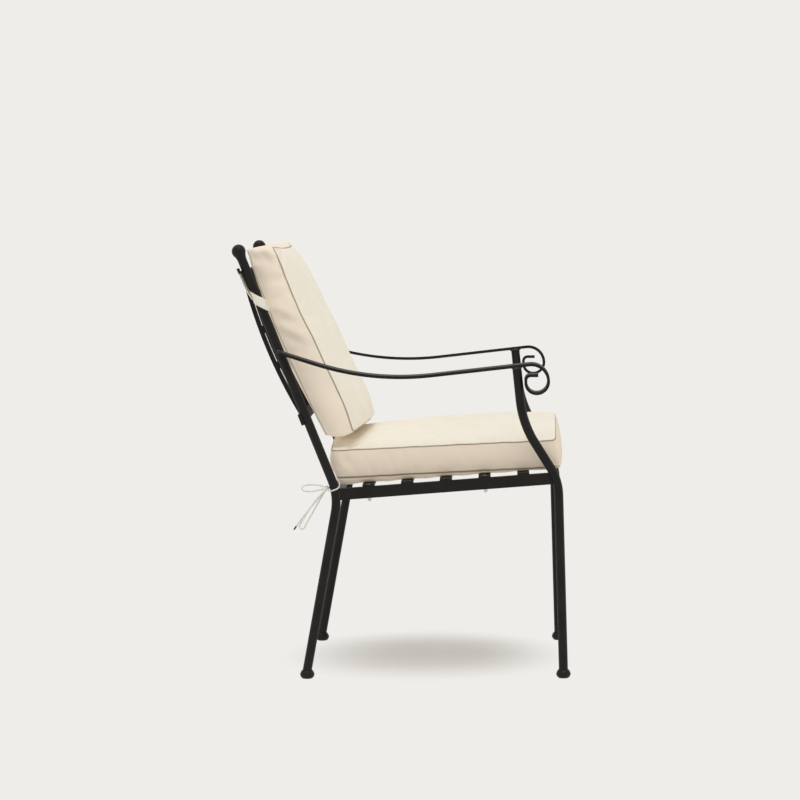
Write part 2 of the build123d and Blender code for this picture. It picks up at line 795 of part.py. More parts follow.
def knotted_ring(knot_centre):
    """Tie ring round the left post, with its lead and its knot."""
    with BuildPart() as ring:
        with Locations(ring_plane):
            Torus(ring_radius, tie_radius)
        with Locations(knot_centre):
            Sphere(knot_diameter / 2)
        with BuildSketch(Plane(origin=lead_start, z_dir=lead_end - lead_start)):
            Circle(tie_radius)
        extrude(amount=(lead_end - lead_start).length)
    return ring.part


def swung_out(point):
    """Place of a bow's point once the bow hangs outside its post."""
    x, y, z = point
    drawn_in = swung_bow_draw * max(0.0, y - tie_knot_centre[1] - swung_bow_free)
    follow = max(0.0, back_bend_height - z) * math.tan(rear_splay)
    return (
        leg_x + y - tie_y + swung_bow_shift - drawn_in,
        tie_y - (x - leg_x) + follow,
        z + swung_bow_lift,
    )


export_piece(knotted_ring(swung_out(tie_knot_centre)), "seat_tie_left")
export_mirrored(knotted_ring(tie_knot_centre), "seat_tie_right")
for cord_name, cord_route in (
    ("seat_tie_loop", tie_loop_route),
    ("seat_tie_fold", tie_fold_route),
    ("seat_tie_end", tie_end_route),
):
    swung_route = [swung_out(point) for point in cord_route]
    export_piece(cord_along(f"{cord_name}_left", swung_route), f"{cord_name}_left")
    export_mirrored(cord_along(f"{cord_name}_right", cord_route), f"{cord_name}_right")
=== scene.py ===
import math

import bmesh
import bpy
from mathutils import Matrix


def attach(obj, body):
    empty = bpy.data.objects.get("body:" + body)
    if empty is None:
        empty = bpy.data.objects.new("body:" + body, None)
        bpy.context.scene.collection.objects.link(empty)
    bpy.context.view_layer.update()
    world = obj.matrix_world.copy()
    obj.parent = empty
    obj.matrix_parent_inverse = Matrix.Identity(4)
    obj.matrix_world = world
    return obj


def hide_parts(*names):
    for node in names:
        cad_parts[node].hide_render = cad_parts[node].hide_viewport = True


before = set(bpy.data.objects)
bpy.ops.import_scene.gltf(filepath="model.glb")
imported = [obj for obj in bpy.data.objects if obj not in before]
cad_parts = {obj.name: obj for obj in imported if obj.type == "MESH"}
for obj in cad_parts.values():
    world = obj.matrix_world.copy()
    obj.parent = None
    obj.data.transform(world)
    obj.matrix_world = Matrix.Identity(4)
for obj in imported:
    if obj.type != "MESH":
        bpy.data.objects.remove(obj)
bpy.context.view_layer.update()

from bl_math import clamp
from bpy.props import FloatProperty, FloatVectorProperty, PointerProperty
from mathutils import Matrix, Vector, noise

bl_info = {
    "name": "Carver Chair",
    "version": (1, 0, 0),
    "blender": (4, 5, 0),
    "location": "View3D > Sidebar > Carver",
    "description": "Dresses a metal carver chair with paint, welds, boxed cushions, straps and ties",
    "category": "Object",
}

SIDES = {"left": 1, "right": -1}
PLATED_NODES = ("seat_bolts", "seat_nuts")
SOFT_NODES = ("seat_cushion", "back_cushion", "back_strap", "seat_tie")
FRAME_NODES = [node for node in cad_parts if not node.startswith(SOFT_NODES + PLATED_NODES)]

# Limits of comparisons and merges, and the seed that gives every run the same seams and weld lumps
NEARLY_ONE = 0.999
TINY = 1e-6
MERGE_DISTANCE = 0.00005
NOISE_SEED = 4

# Places of the frame in metres: front of the seat frame's top, middle of the finials, axes of legs and posts
SEAT_ORIGIN = Vector((0, -0.322, 0.4327))
SEAT_SLOPE = math.radians(4.04)
BALL_CENTRE = Vector((0, 0.3355, 0.8975))
BACK_LEAN = math.radians(21.5)
POST_BEND_HEIGHT = 0.3856
REAR_LEG_SPLAY = math.radians(10.65)
LEG_X = 0.235
TUBE_RADIUS = 0.0095
FIRST_SLAT = 0.069
SLAT_PITCH = 0.081

seat_rear = Vector((0, math.cos(SEAT_SLOPE), -math.sin(SEAT_SLOPE)))
seat_up = Vector((0, math.sin(SEAT_SLOPE), math.cos(SEAT_SLOPE)))
back_up = Vector((0, math.sin(BACK_LEAN), math.cos(BACK_LEAN)))
back_front = Vector((0, -math.cos(BACK_LEAN), math.sin(BACK_LEAN)))


def on_seat(x, v, w):
    """Place in the seat's own directions: across, to the rear and upwards."""
    return SEAT_ORIGIN + Vector((x, 0, 0)) + seat_rear * v + seat_up * w


def on_back(x, h, n):
    """Place in the back's own directions: across, upwards from the finials' middle, and forward."""
    return BALL_CENTRE + Vector((x, 0, 0)) + back_up * h + back_front * n


def colour(name, text, default):
    """Colour property of a finish."""
    return FloatVectorProperty(
        name=name, description=text, subtype="COLOR", size=3, min=0.0, max=1.0, default=default
    )


def length(name, text, default):
    """Length property in metres."""
    return FloatProperty(
        name=name, description=text, subtype="DISTANCE", unit="LENGTH", default=default, precision=4
    )


def lengths(name, text, default):
    """Three lengths in metres, along X, Y and Z."""
    return FloatVectorProperty(name=name, description=text, subtype="XYZ", unit="LENGTH", default=default)


def angle(name, text, degrees):
    """Angle property."""
    return FloatProperty(name=name, description=text, subtype="ANGLE", default=math.radians(degrees))


class CarverFrameLook(bpy.types.PropertyGroup):
    """Finish of the metal frame"""

    paint: colour("Paint", "Satin paint on tubes and bars", (0.007, 0.0065, 0.0055))
    paint_worn: colour("Thin paint", "Tone where the paint lies thinner", (0.012, 0.0112, 0.0096))
    zinc: colour("Zinc", "Plating of the seat's bolts and nuts", (0.62, 0.62, 0.63))
    bead: length("Weld bead", "Leg of the weld beads", 0.0035)


class CarverCushionLook(bpy.types.PropertyGroup):
    """Sizes and cloth of the cushions"""

    cloth: colour("Cloth", "Cream cover cloth", (0.93, 0.874, 0.755))
    cloth_shade: colour("Slubs", "Darker threads of the cloth", (0.88, 0.81, 0.685))
    # Band tones are painted shade: the same cloth as the panels, made darker and warmer where the cushions'
    # sides and undersides face away from the light
    band_shade: colour("Boxing", "Cloth of the back cushion's side bands", (0.95, 0.84, 0.695))
    seat_band_shade: colour("Seat band", "Cloth of the seat cushion's side bands", (0.86, 0.745, 0.61))
    # Seam tone is painted shade: a dark line in the seams' grooves and along the foot of the back cushion's
    # welt
    seam: colour("Seam", "Bottom of the sewn seams", (0.22, 0.165, 0.095))
    thread_pitch: length("Thread pitch", "Distance between the cloth's threads", 0.0014)
    quad: length("Mesh step", "Edge length of the cushion's mesh", 0.007)
    pressure: FloatProperty(name="Filling pressure", description="How hard the filling presses", default=4.0)
    swell: length("Swell", "Most that the cloth may move when it fills", 0.002)
    seam_width: length("Seam width", "Half width of a sewn seam", 0.0030)
    seam_depth: length("Seam depth", "How deep a seam is drawn in", 0.0016)
    welt: length("Welt", "Height of the back cushion's welt", 0.0028)
    welt_width: length("Welt width", "Half width of the back cushion's welt", 0.0030)


class CarverTieLook(bpy.types.PropertyGroup):
    """Straps and tie cords"""

    cord: colour("Cord", "Tie cord", (0.78, 0.755, 0.69))
    cord_tip: colour("Cord tip", "Sealed end of the tie cord", (0.05, 0.046, 0.04))
    strap: colour("Strap", "Cloth of the back straps", (0.86, 0.81, 0.71))
    # Painted shade: near-black tone on the end of a strap's tail, standing in for the shade there
    tail_shade: colour("Tail shade", "Hook-and-loop patch on a strap's tail", (0.06, 0.056, 0.05))
    cord_diameter: length("Cord diameter", "Thickness of the tie cord", 0.003)


class CarverStageLook(bpy.types.PropertyGroup):
    """Floor, light and camera"""

    floor: colour("Floor", "Pale floor and background", (0.863, 0.847, 0.815))
    sky: FloatProperty(name="Fill", description="Strength of the light all round", default=1.0)
    sky_low: colour("Low light", "Light from low all round", (1.0, 0.965, 0.915))
    sky_middle: FloatProperty(
        name="Middle", description="Light from half way up, against the rest", default=0.36
    )
    key: FloatProperty(name="Key", description="Strength of the soft overhead light", default=1.26)
    key_angle: angle("Key size", "Width of the overhead light", 45)
    key_tilt: angle("Key tilt", "Lean of the overhead light to the chair's right", 15)
    floor_glow: FloatProperty(
        name="Floor glow",
        description="Share of the floor that no shadow reaches",
        subtype="FACTOR",
        default=0.31,
    )
    shadow_middle: lengths("Shadow middle", "Middle of the shadow", (0.04, -0.042, 0.0))
    shadow_reach: lengths("Shadow reach", "Half sizes of the shadow", (0.35, 0.335, 1.0))
    lens: FloatProperty(name="Lens", description="Focal length", subtype="DISTANCE_CAMERA", default=118.49)


# Weave: a wave texture of scale 1 has a band every 0.314 units, and slubs run along and across the threads
WAVE_BAND = 0.314
SLUB_STRETCHES = ((60, 900, 1), (900, 60, 1), (24, 24, 24))

# Tones of the shared patterns: where their colour ramps start and end, and the swing of a coat's roughness
MOTTLE_RANGE = (0.35, 0.7)
SLUB_RANGE = (0.36, 0.56)
ROUGHNESS_SWING = 0.06


def shader_group(name, inputs, outputs):
    """New shader node group with its sockets."""
    group = bpy.data.node_groups.new(name, "ShaderNodeTree")
    for label, kind, value in inputs:
        socket = group.interface.new_socket(name=label, in_out="INPUT", socket_type=kind)
        if value is not None:
            socket.default_value = value
    for label, kind in outputs:
        group.interface.new_socket(name=label, in_out="OUTPUT", socket_type=kind)
    enter = group.nodes.new("NodeGroupInput")
    leave = group.nodes.new("NodeGroupOutput")
    return group, enter, leave


def give(tree, node, values):
    """Give a node's inputs their values, each a socket to link or a plain value."""
    for place, value in values.items():
        if isinstance(value, bpy.types.NodeSocket):
            tree.links.new(value, node.inputs[place])
        else:
            node.inputs[place].default_value = value


def add_node(tree, kind, values, **settings):
    """Shader node with its settings and its inputs."""
    node = tree.nodes.new("ShaderNode" + kind)
    for name, value in settings.items():
        setattr(node, name, value)
    give(tree, node, values)
    return node


def maths(tree, operation, first, second):
    """Output of a math node."""
    return add_node(tree, "Math", {0: first, 1: second}, operation=operation).outputs[0]


def vector_maths(tree, operation, first, second):
    """Outputs of a vector math node."""
    return add_node(tree, "VectorMath", {0: first, 1: second}, operation=operation).outputs


def weave_group(name):
    """Crossing threads, slubs and soft blotches of woven cloth."""
    group, enter, leave = shader_group(
        name,
        [("Vector", "NodeSocketVector", None), ("Threads", "NodeSocketFloat", 714.0)],
        [("Height", "NodeSocketFloat"), ("Slub", "NodeSocketFloat")],
    )
    vector = enter.outputs["Vector"]
    scale = maths(group, "MULTIPLY", enter.outputs["Threads"], WAVE_BAND)
    bands = {"Vector": vector, "Scale": scale, "Distortion": 0.6, "Detail": 1.0}
    waves = [add_node(group, "TexWave", bands, bands_direction=way).outputs["Fac"] for way in "XY"]
    slubs = []
    for stretch in SLUB_STRETCHES:
        stretched = add_node(group, "Mapping", {"Vector": vector, "Scale": stretch}).outputs["Vector"]
        specks = add_node(group, "TexNoise", {"Vector": stretched, "Scale": 1.0, "Detail": 3.0})
        slubs.append(specks.outputs["Fac"])
    threads = maths(group, "ADD", slubs[0], slubs[1])
    total = maths(group, "ADD", threads, slubs[2])
    slub = maths(group, "MULTIPLY", total, 1 / len(slubs))
    give(group, leave, {"Height": maths(group, "ADD", *waves), "Slub": slub})
    return group


def coat_group(name):
    """Fine orange peel and slow blotches of a sprayed or plated coat."""
    group, enter, leave = shader_group(
        name,
        [("Vector", "NodeSocketVector", None), ("Grain", "NodeSocketFloat", 700.0)],
        [("Height", "NodeSocketFloat"), ("Mottle", "NodeSocketFloat")],
    )
    vector = enter.outputs["Vector"]
    grain = add_node(group, "TexNoise", {"Vector": vector, "Scale": enter.outputs["Grain"], "Detail": 2.0})
    mottle = add_node(group, "TexNoise", {"Vector": vector, "Scale": 18.0, "Detail": 4.0})
    give(group, leave, {"Height": grain.outputs["Fac"], "Mottle": mottle.outputs["Fac"]})
    return group


SHARED_GROUPS = {"cloth_weave": weave_group, "coat_grain": coat_group}


def place_group(tree, name, values):
    """Node of a shared group, which is built on its first use."""
    group = bpy.data.node_groups.get(name) or SHARED_GROUPS[name](name)
    return add_node(tree, "Group", values, node_tree=group)


def new_material(name):
    """Empty material with its Principled shader."""
    material = bpy.data.materials.new(name)
    material.use_nodes = True
    return material, material.node_tree, material.node_tree.nodes["Principled BSDF"]


def shaded(tone, share):
    """Darker tone of a colour."""
    return [share * channel for channel in tone]


def ramp_between(tree, factor, reach, first, second):
    """Colour that goes from one tone to another as a value rises through its reach."""
    ramp = add_node(tree, "ValToRGB", {"Fac": factor})
    for element, position, tone in zip(ramp.color_ramp.elements, reach, (first, second)):
        element.position = position
        element.color = (*tone, 1)
    return ramp.outputs["Color"]


def mix_colour(tree, factor, first, second):
    """Mix of a colour's socket with a plain colour."""
    mix = add_node(tree, "Mix", {"Factor": factor}, data_type="RGBA")
    under, over = [socket for socket in mix.inputs if socket.type == "RGBA"]
    tree.links.new(first, under)
    over.default_value = (*second, 1)
    return [socket for socket in mix.outputs if socket.type == "RGBA"][0]


def bump(tree, height, distance, strength):
    """Normal of a surface with a fine relief."""
    relief = {"Height": height, "Distance": distance, "Strength": strength}
    return add_node(tree, "Bump", relief).outputs["Normal"]


def coat_material(name, tone, thin_tone, metallic, roughness, specular, grain, depth):
    """Painted or plated metal with a fine grain and slow changes of tone."""
    material, tree, shader = new_material(name)
    place = add_node(tree, "TexCoord", {}).outputs["Object"]
    coat = place_group(tree, "coat_grain", {"Vector": place, "Grain": grain})
    mottle = coat.outputs["Mottle"]
    swing = {"Value": mottle, "To Min": roughness - ROUGHNESS_SWING, "To Max": roughness + ROUGHNESS_SWING}
    values = {
        "Base Color": ramp_between(tree, mottle, MOTTLE_RANGE, tone, thin_tone),
        "Metallic": metallic,
        "Roughness": add_node(tree, "MapRange", swing).outputs["Result"],
        "Specular IOR Level": specular,
        "Normal": bump(tree, coat.outputs["Height"], distance=depth, strength=0.5),
    }
    give(tree, shader, values)
    return material


def cloth_material(name, cloth, shade, pitch, uv_name=None, band_shade=None, seam=None):
    """Woven cloth, with painted shade on side bands and in seams where they are given."""
    material, tree, shader = new_material(name)
    if uv_name:
        vector = add_node(tree, "UVMap", {}, uv_map=uv_name).outputs["UV"]
    else:
        vector = add_node(tree, "TexCoord", {}).outputs["Object"]
    weave = place_group(tree, "cloth_weave", {"Vector": vector, "Threads": 1 / pitch})
    tone = ramp_between(tree, weave.outputs["Slub"], SLUB_RANGE, shade, cloth)
    for attribute, value in (("band_shade", band_shade), ("seam", seam)):
        if value is not None:
            mask = add_node(tree, "Attribute", {}, attribute_name=attribute)
            tone = mix_colour(tree, mask.outputs["Fac"], tone, value)
    values = {
        "Base Color": tone,
        "Roughness": 0.92,
        "Specular IOR Level": 0.2,
        "Sheen Weight": 0.08,
        "Normal": bump(tree, weave.outputs["Height"], distance=0.0002, strength=0.35),
    }
    give(tree, shader, values)
    return material


def cushion_cloth(name, look, band_shade):
    """Cover cloth of a cushion with painted shade on the side bands and in the seams."""
    return cloth_material(name, look.cloth, look.cloth_shade, look.thread_pitch, WEAVE_UV, band_shade, look.seam)


def finish_piece(bm, name, materials):
    """Smooth mesh object from a bmesh, riding on the chair."""
    mesh = bpy.data.meshes.new(name)
    bm.normal_update()
    bm.to_mesh(mesh)
    bm.free()
    for material in materials:
        mesh.materials.append(material)
    mesh.shade_smooth()
    piece = bpy.data.objects.new(name, mesh)
    bpy.context.scene.collection.objects.link(piece)
    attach(piece, "root")
    return piece


def add_modifier(piece, kind, **values):
    """Modifier with its settings."""
    modifier = piece.modifiers.new(kind.title(), kind)
    for name, value in values.items():
        setattr(modifier, name, value)


def ring_section(bm, thickness, radius, segments):
    """Upright circle at a radius from the Z axis, as vertices and edges to spin."""
    verts = bmesh.ops.create_circle(bm, cap_ends=False, radius=thickness / 2, segments=segments)["verts"]
    bmesh.ops.rotate(bm, verts=verts, cent=(0, 0, 0), matrix=Matrix.Rotation(math.pi / 2, 3, "X"))
    bmesh.ops.translate(bm, verts=verts, vec=(radius, 0, 0))
    return verts + list(dict.fromkeys(edge for vertex in verts for edge in vertex.link_edges))


def spin_round(bm, profile, steps):
    """Spin a profile once round the Z axis."""
    bmesh.ops.spin(
        bm, geom=profile, cent=(0, 0, 0), axis=(0, 0, 1), angle=2 * math.pi, steps=steps, use_merge=True
    )


# Cushions: how far the mesh draws together at its edges, power of the crown, and the simulation's frames
EDGE_GATHER = 0.4
CROWN_POWER = 2.2
CLOTH_FRAMES = 20
WEAVE_UV = "weave"

# Seams: wander of the sewn line, share of the depth and of the painted shade at a seam's flanks and at a
# welt's flanks, and how a seam's painted shade pales
WANDER_PITCH = 45.0
WANDER = 0.0009
FLANK_DEPTH = 0.3
SEAM_FLANK_TONE = 0.55
WELT_FLANK_TONE = 0.6
PALE_TONE = 0.35
PALE_RUN = 0.012

# Folds: reach in half widths, and the share of the depth at a fold's ends
FOLD_REACH = 3
FOLD_END_DEPTH = 0.35


def gridded_block(bm, counts):
    """Cube of size 2 with its sides cut into even quads."""
    bmesh.ops.create_cube(bm, size=2)
    for axis, count in enumerate(counts):
        edges = [e for e in bm.edges if abs(e.verts[0].co[axis] - e.verts[1].co[axis]) > 1]
        bmesh.ops.subdivide_edges(bm, edges=edges, cuts=count - 1, use_grid_fill=True)


def spread(value):
    """Even steps drawn closer together towards the ends."""
    return (1 - EDGE_GATHER) * value + EDGE_GATHER * math.sin(value * math.pi / 2)


def rounded_plan(a, b, half_x, half_y, corner):
    """Place on the cushion's rounded plan, and its outward direction, for a place on a square."""
    reach = max(abs(a), abs(b))
    if reach < TINY:
        return Vector((0, 0)), Vector((0, 0))
    edge = Vector((a / reach * half_x, b / reach * half_y))
    sizes = zip(edge, (half_x, half_y))
    inner = Vector([clamp(value, corner - half, half - corner) for value, half in sizes])
    outward = (edge - inner).normalized()
    return (inner + outward * corner) * reach, outward


def through_three(first, middle, last, share):
    """Value at a share of the way along a curve through three values."""
    return first + (last - first) * share + (middle - (first + last) / 2) * 4 * share * (1 - share)


def through_all(values, share):
    """Smooth value at a share of the way through evenly spaced values."""
    spot = clamp(share) * (len(values) - 1)
    first = min(int(spot), len(values) - 2)
    t = spot - first
    p1, p2 = values[first], values[first + 1]
    p0 = values[first - 1] if first else 2 * p1 - p2
    p3 = values[first + 2] if first + 2 < len(values) else 2 * p2 - p1
    return p1 + 0.5 * t * (p2 - p0 + t * (2 * p0 - 5 * p1 + 4 * p2 - p3 + t * (3 * (p1 - p2) + p3 - p0)))


# Seat cushion in metres: size of its cloth, plan, and the lines of its seams in the seat's own directions
SEAT_CLOTH = (0.434, 0.483, 0.058)
SEAT_HALF_WIDTH = 0.215
SEAT_DEPTH = 0.467
SEAT_CORNER = 0.012
SEAT_DRAW = 0.023  # share of the width that the sides draw in
SEAT_FRONT = -0.0045
SEAT_FRONT_BOW = 0.0055
SEAT_FRONT_TUCK = 0.0050  # how far the front's foot stands ahead of its top
SEAT_REAR = 0.4615
SEAT_REAR_LEAN = 0.006
SEAT_SEAM = 0.0077
SEAT_SEAM_RISE = 0.0124
SEAT_BOXING = 0.0575
SEAT_BOXING_RISE = 0.0014
SEAT_CROWN = (0.0360, 0.0390, 0.0215)
SEAT_REAR_DIP = 0.25  # share of the crown lost at the rear
SEAT_REAR_DIP_RUN = 0.03
SEAT_REST = 0.0053  # underside where it lies on a slat
SEAT_SAG = 0.0018
SEAT_RIM = 0.02  # width round the underside where the mesh is drawn closer
SEAT_BOTTOM_ROUND = 0.009
SEAT_BULGE = 0.002
SEAT_FRONT_BULGE = 0.0035
SEAT_REAR_BULGE = 0.006
SEAT_PALE_BEFORE = -0.331  # the painted shade in the front seams is paler ahead of this

# Creases round the seat cushion's rear corners: ends, half width and depth
SEAT_CREASES = (
    ((0.211, 0.124, 0.481), (0.176, 0.084, 0.494), 0.0085, 0.0050),
    ((0.207, 0.104, 0.484), (0.168, 0.056, 0.500), 0.0085, -0.0026),
    ((0.217, 0.128, 0.470), (0.217, 0.104, 0.444), 0.0080, 0.0030),
)
SEAT_FOLDS = [
    ((side * first[0], *first[1:]), (side * last[0], *last[1:]), width, depth)
    for side in (-1, 1)
    for first, last, width, depth in SEAT_CREASES
]


def seat_place(a, b, c):
    """Place on the seat cushion: a across, b to the rear, c upwards, each from -1 to 1."""
    underneath = c < -NEARLY_ONE
    if underneath:
        reach = max(abs(a), abs(b), TINY)
        from_rim = (1 - reach) * SEAT_HALF_WIDTH
        if from_rim < SEAT_RIM:
            from_rim = from_rim**2 / SEAT_RIM
            outer = (1 - from_rim / SEAT_HALF_WIDTH) / reach
            a, b = a * outer, b * outer
    plan, outward = rounded_plan(a, b, SEAT_HALF_WIDTH, SEAT_DEPTH / 2, SEAT_CORNER)
    share = 0.5 + plan.y / SEAT_DEPTH
    level = (c + 1) / 2
    bow = 1 - abs(plan.x / SEAT_HALF_WIDTH) ** CROWN_POWER
    x = plan.x * (1 - SEAT_DRAW * (1 - (2 * share - 1) ** 2))
    front = SEAT_FRONT - SEAT_FRONT_BOW * bow - SEAT_FRONT_TUCK * (1 - level)
    rear = SEAT_REAR + SEAT_REAR_LEAN * level
    v = front + (rear - front) * share
    lower = SEAT_SEAM + SEAT_SEAM_RISE * share
    if underneath:
        between_slats = 0.5 - 0.5 * math.cos(2 * math.pi * (v - FIRST_SLAT) / SLAT_PITCH)
        rest = SEAT_REST - SEAT_SAG * between_slats**2
        tuck = max(0.0, 1 - from_rim / SEAT_BOTTOM_ROUND)
        w = rest + (lower - rest) * (1 - math.sqrt(1 - tuck * tuck))
    else:
        upper = lower + SEAT_BOXING + SEAT_BOXING_RISE * share
        crown = through_three(*SEAT_CROWN, share) * bow
        crown *= 1 - SEAT_REAR_DIP * max(0.0, 1 - SEAT_DEPTH * (1 - share) / SEAT_REAR_DIP_RUN) ** 2
        w = lower + (upper + crown - lower) * level
    if abs(c) < NEARLY_ONE:
        x += outward.x * SEAT_BULGE * (1 - c * c)
        v += outward.y * (SEAT_FRONT_BULGE if outward.y < 0 else SEAT_REAR_BULGE) * (1 - c * c)
    return on_seat(x, v, w)


# Back cushion in metres: size of its cloth, plan, and the lines of its seams from the finials' middle
BACK_CLOTH = (0.411, 0.427, 0.057)
BACK_HALF_WIDTH = 0.204
BACK_LENGTH = 0.423
BACK_CORNER = 0.006
BACK_DRAW = 0.010  # share of the width that the sides draw in
BACK_TOP = -0.0034
BACK_TOP_TILT = 0.0126
BACK_TOP_DIP = 0.012  # of the front seam's middle
BACK_FOOT = -0.437
BACK_FOOT_TILT = 0.0033
BACK_FOOT_LIFT = 0.003  # of the front seam's middle
BACK_FOOT_ROUND = 0.012  # of the rear edge
BACK_EDGE_RUN = 0.04  # until dip, lift and rounding fade out
BACK_EDGE_POWER = 3
BACK_FOOT_ROUND_POWER = 2.5
BACK_BULGE = 0.002
BACK_END_BULGE = 0.003

# Seams and crowns of the back cushion, ahead of the posts' axes, evenly spaced from its top to its foot
BACK_REAR_SEAM = (0.0140, 0.0100, 0.0085, 0.0085, 0.0090, 0.0110, 0.0140, 0.0175, 0.0215)
BACK_REAR_CROWN = (0.002, 0.0195, 0.006)
BACK_FRONT_SEAM = (0.0685, 0.0687, 0.0680, 0.0690, 0.0740, 0.0760, 0.0790, 0.0810, 0.0775)
BACK_CROWN = (0.0130, 0.0270, 0.0345, 0.0375, 0.0370, 0.0365, 0.0365, 0.0380, 0.0360)

# Creases across the back cushion's side bands and round its top corners: ends in Y and Z, half width, depth
BAND_X = 0.206
BAND_CREASES = (
    ((0.264, 0.7675), (0.2286, 0.7484), 0.0085, 0.0056),
    ((0.268, 0.7790), (0.2320, 0.7630), 0.0080, -0.0034),
    ((0.2456, 0.7255), (0.204, 0.700), 0.0090, 0.0060),
    ((0.250, 0.7380), (0.2100, 0.7160), 0.0085, -0.0034),
    ((0.2524, 0.6857), (0.200, 0.6853), 0.0085, 0.0044),
    ((0.2778, 0.8304), (0.2421, 0.8426), 0.0080, 0.0040),
    ((0.3106, 0.887), (0.2898, 0.8743), 0.0075, 0.0056),
    ((0.2979, 0.8994), (0.2731, 0.8742), 0.0080, 0.0060),
    ((0.2860, 0.9010), (0.2640, 0.8860), 0.0075, -0.0040),
)
BACK_FOLDS = [
    ((side * BAND_X, *first), (side * BAND_X, *last), width, depth)
    for side in (-1, 1)
    for first, last, width, depth in BAND_CREASES
]


def back_place(a, b, c):
    """Place on the back cushion: a across, b upwards, c to the front, each from -1 to 1."""
    plan, outward = rounded_plan(a, b, BACK_HALF_WIDTH, BACK_LENGTH / 2, BACK_CORNER)
    share = 0.5 - plan.y / BACK_LENGTH
    level = (c + 1) / 2
    bow = 1 - abs(plan.x / BACK_HALF_WIDTH) ** CROWN_POWER
    x = plan.x * (1 - BACK_DRAW * (1 - (2 * share - 1) ** 2))
    near_top = max(0.0, 1 - BACK_LENGTH * share / BACK_EDGE_RUN) ** 2
    near_foot = max(0.0, 1 - BACK_LENGTH * (1 - share) / BACK_EDGE_RUN) ** 2
    top = BACK_TOP - BACK_TOP_TILT * level
    foot = BACK_FOOT - BACK_FOOT_TILT * level
    middle = 1 - abs(plan.x / BACK_HALF_WIDTH) ** BACK_EDGE_POWER
    h = top + (foot - top) * share
    h += level * middle * (BACK_FOOT_LIFT * near_foot - BACK_TOP_DIP * near_top)
    h += BACK_FOOT_ROUND * near_foot * (1 - level) ** BACK_FOOT_ROUND_POWER
    rear = through_all(BACK_REAR_SEAM, share) - through_three(*BACK_REAR_CROWN, share) * bow
    front = through_all(BACK_FRONT_SEAM, share) + through_all(BACK_CROWN, share) * bow
    n = rear + (front - rear) * level
    if abs(c) < NEARLY_ONE:
        x += outward.x * BACK_BULGE * (1 - c * c)
        h += outward.y * BACK_END_BULGE * (1 - c * c)
    return on_back(x, h, n)


def fill_with_cloth(piece, look):
    """Let the filling swell the cover with a cloth simulation, and keep its result."""
    start = [v.co.copy() for v in piece.data.vertices]
    cloth = piece.modifiers.new("Filling", "CLOTH")
    settings = cloth.settings
    settings.quality = 6
    settings.mass = 0.3
    settings.tension_stiffness = 18
    settings.compression_stiffness = 18
    settings.shear_stiffness = 8
    settings.bending_stiffness = 0.6
    settings.shrink_min = -0.012
    settings.use_pressure = True
    settings.uniform_pressure_force = look.pressure
    settings.effector_weights.gravity = 0
    settings.vertex_group_mass = "held"
    cloth.collision_settings.use_collision = False
    scene = bpy.context.scene
    cloth.point_cache.frame_start = 1
    cloth.point_cache.frame_end = CLOTH_FRAMES
    for step in range(1, CLOTH_FRAMES + 1):
        scene.frame_set(step)
    filled = piece.evaluated_get(bpy.context.evaluated_depsgraph_get())
    places = [v.co.copy() for v in filled.to_mesh().vertices]
    filled.to_mesh_clear()
    piece.modifiers.remove(cloth)
    scene.frame_set(1)
    for vertex, first, last in zip(piece.data.vertices, start, places):
        move = last - first
        if move.length > look.swell:
            move *= look.swell / move.length
        vertex.co = first + move


def sew(bm, edges, width, depth):
    """Open a seam along edges and draw it in, or raise it as a welt. Gives its middle and its flanks."""
    made = bmesh.ops.bevel(
        bm, geom=edges, affect="EDGES", offset=width, offset_type="OFFSET",
        segments=4, profile=0.5, material=-1,
    )
    faces = set(made["faces"])
    bm.normal_update()
    inner = {v for v in made["verts"] if all(f in faces for f in v.link_faces)}
    flanks = {v for v in inner if any(e.other_vert(v) not in inner for e in v.link_edges)}
    moves = [(v, v.normal * depth * (FLANK_DEPTH if v in flanks else 1.0)) for v in inner]
    for vertex, move in moves:
        vertex.co -= move
    return inner - flanks, flanks


def press_folds(bm, folds):
    """Press soft folds into the cloth, each along a line from one place to another."""
    bm.normal_update()
    moves = []
    for vertex in bm.verts:
        push = 0.0
        for first, last, width, depth in folds:
            first, last = Vector(first), Vector(last)
            run = last - first
            along = clamp((vertex.co - first).dot(run) / run.length_squared)
            off = (vertex.co - first - run * along).length
            if off < FOLD_REACH * width:
                fullness = FOLD_END_DEPTH + (1 - FOLD_END_DEPTH) * math.sin(math.pi * along)
                push += depth * math.exp(-((off / width) ** 2)) * fullness
        if push:
            moves.append((vertex, vertex.normal * push))
    for vertex, move in moves:
        vertex.co -= move


def seam_shade_strength(place, pale_before):
    """Strength of a seam's painted shade at a place, paler ahead of a line across the chair."""
    return clamp((place.y - pale_before) / PALE_RUN, PALE_TONE, 1.0)


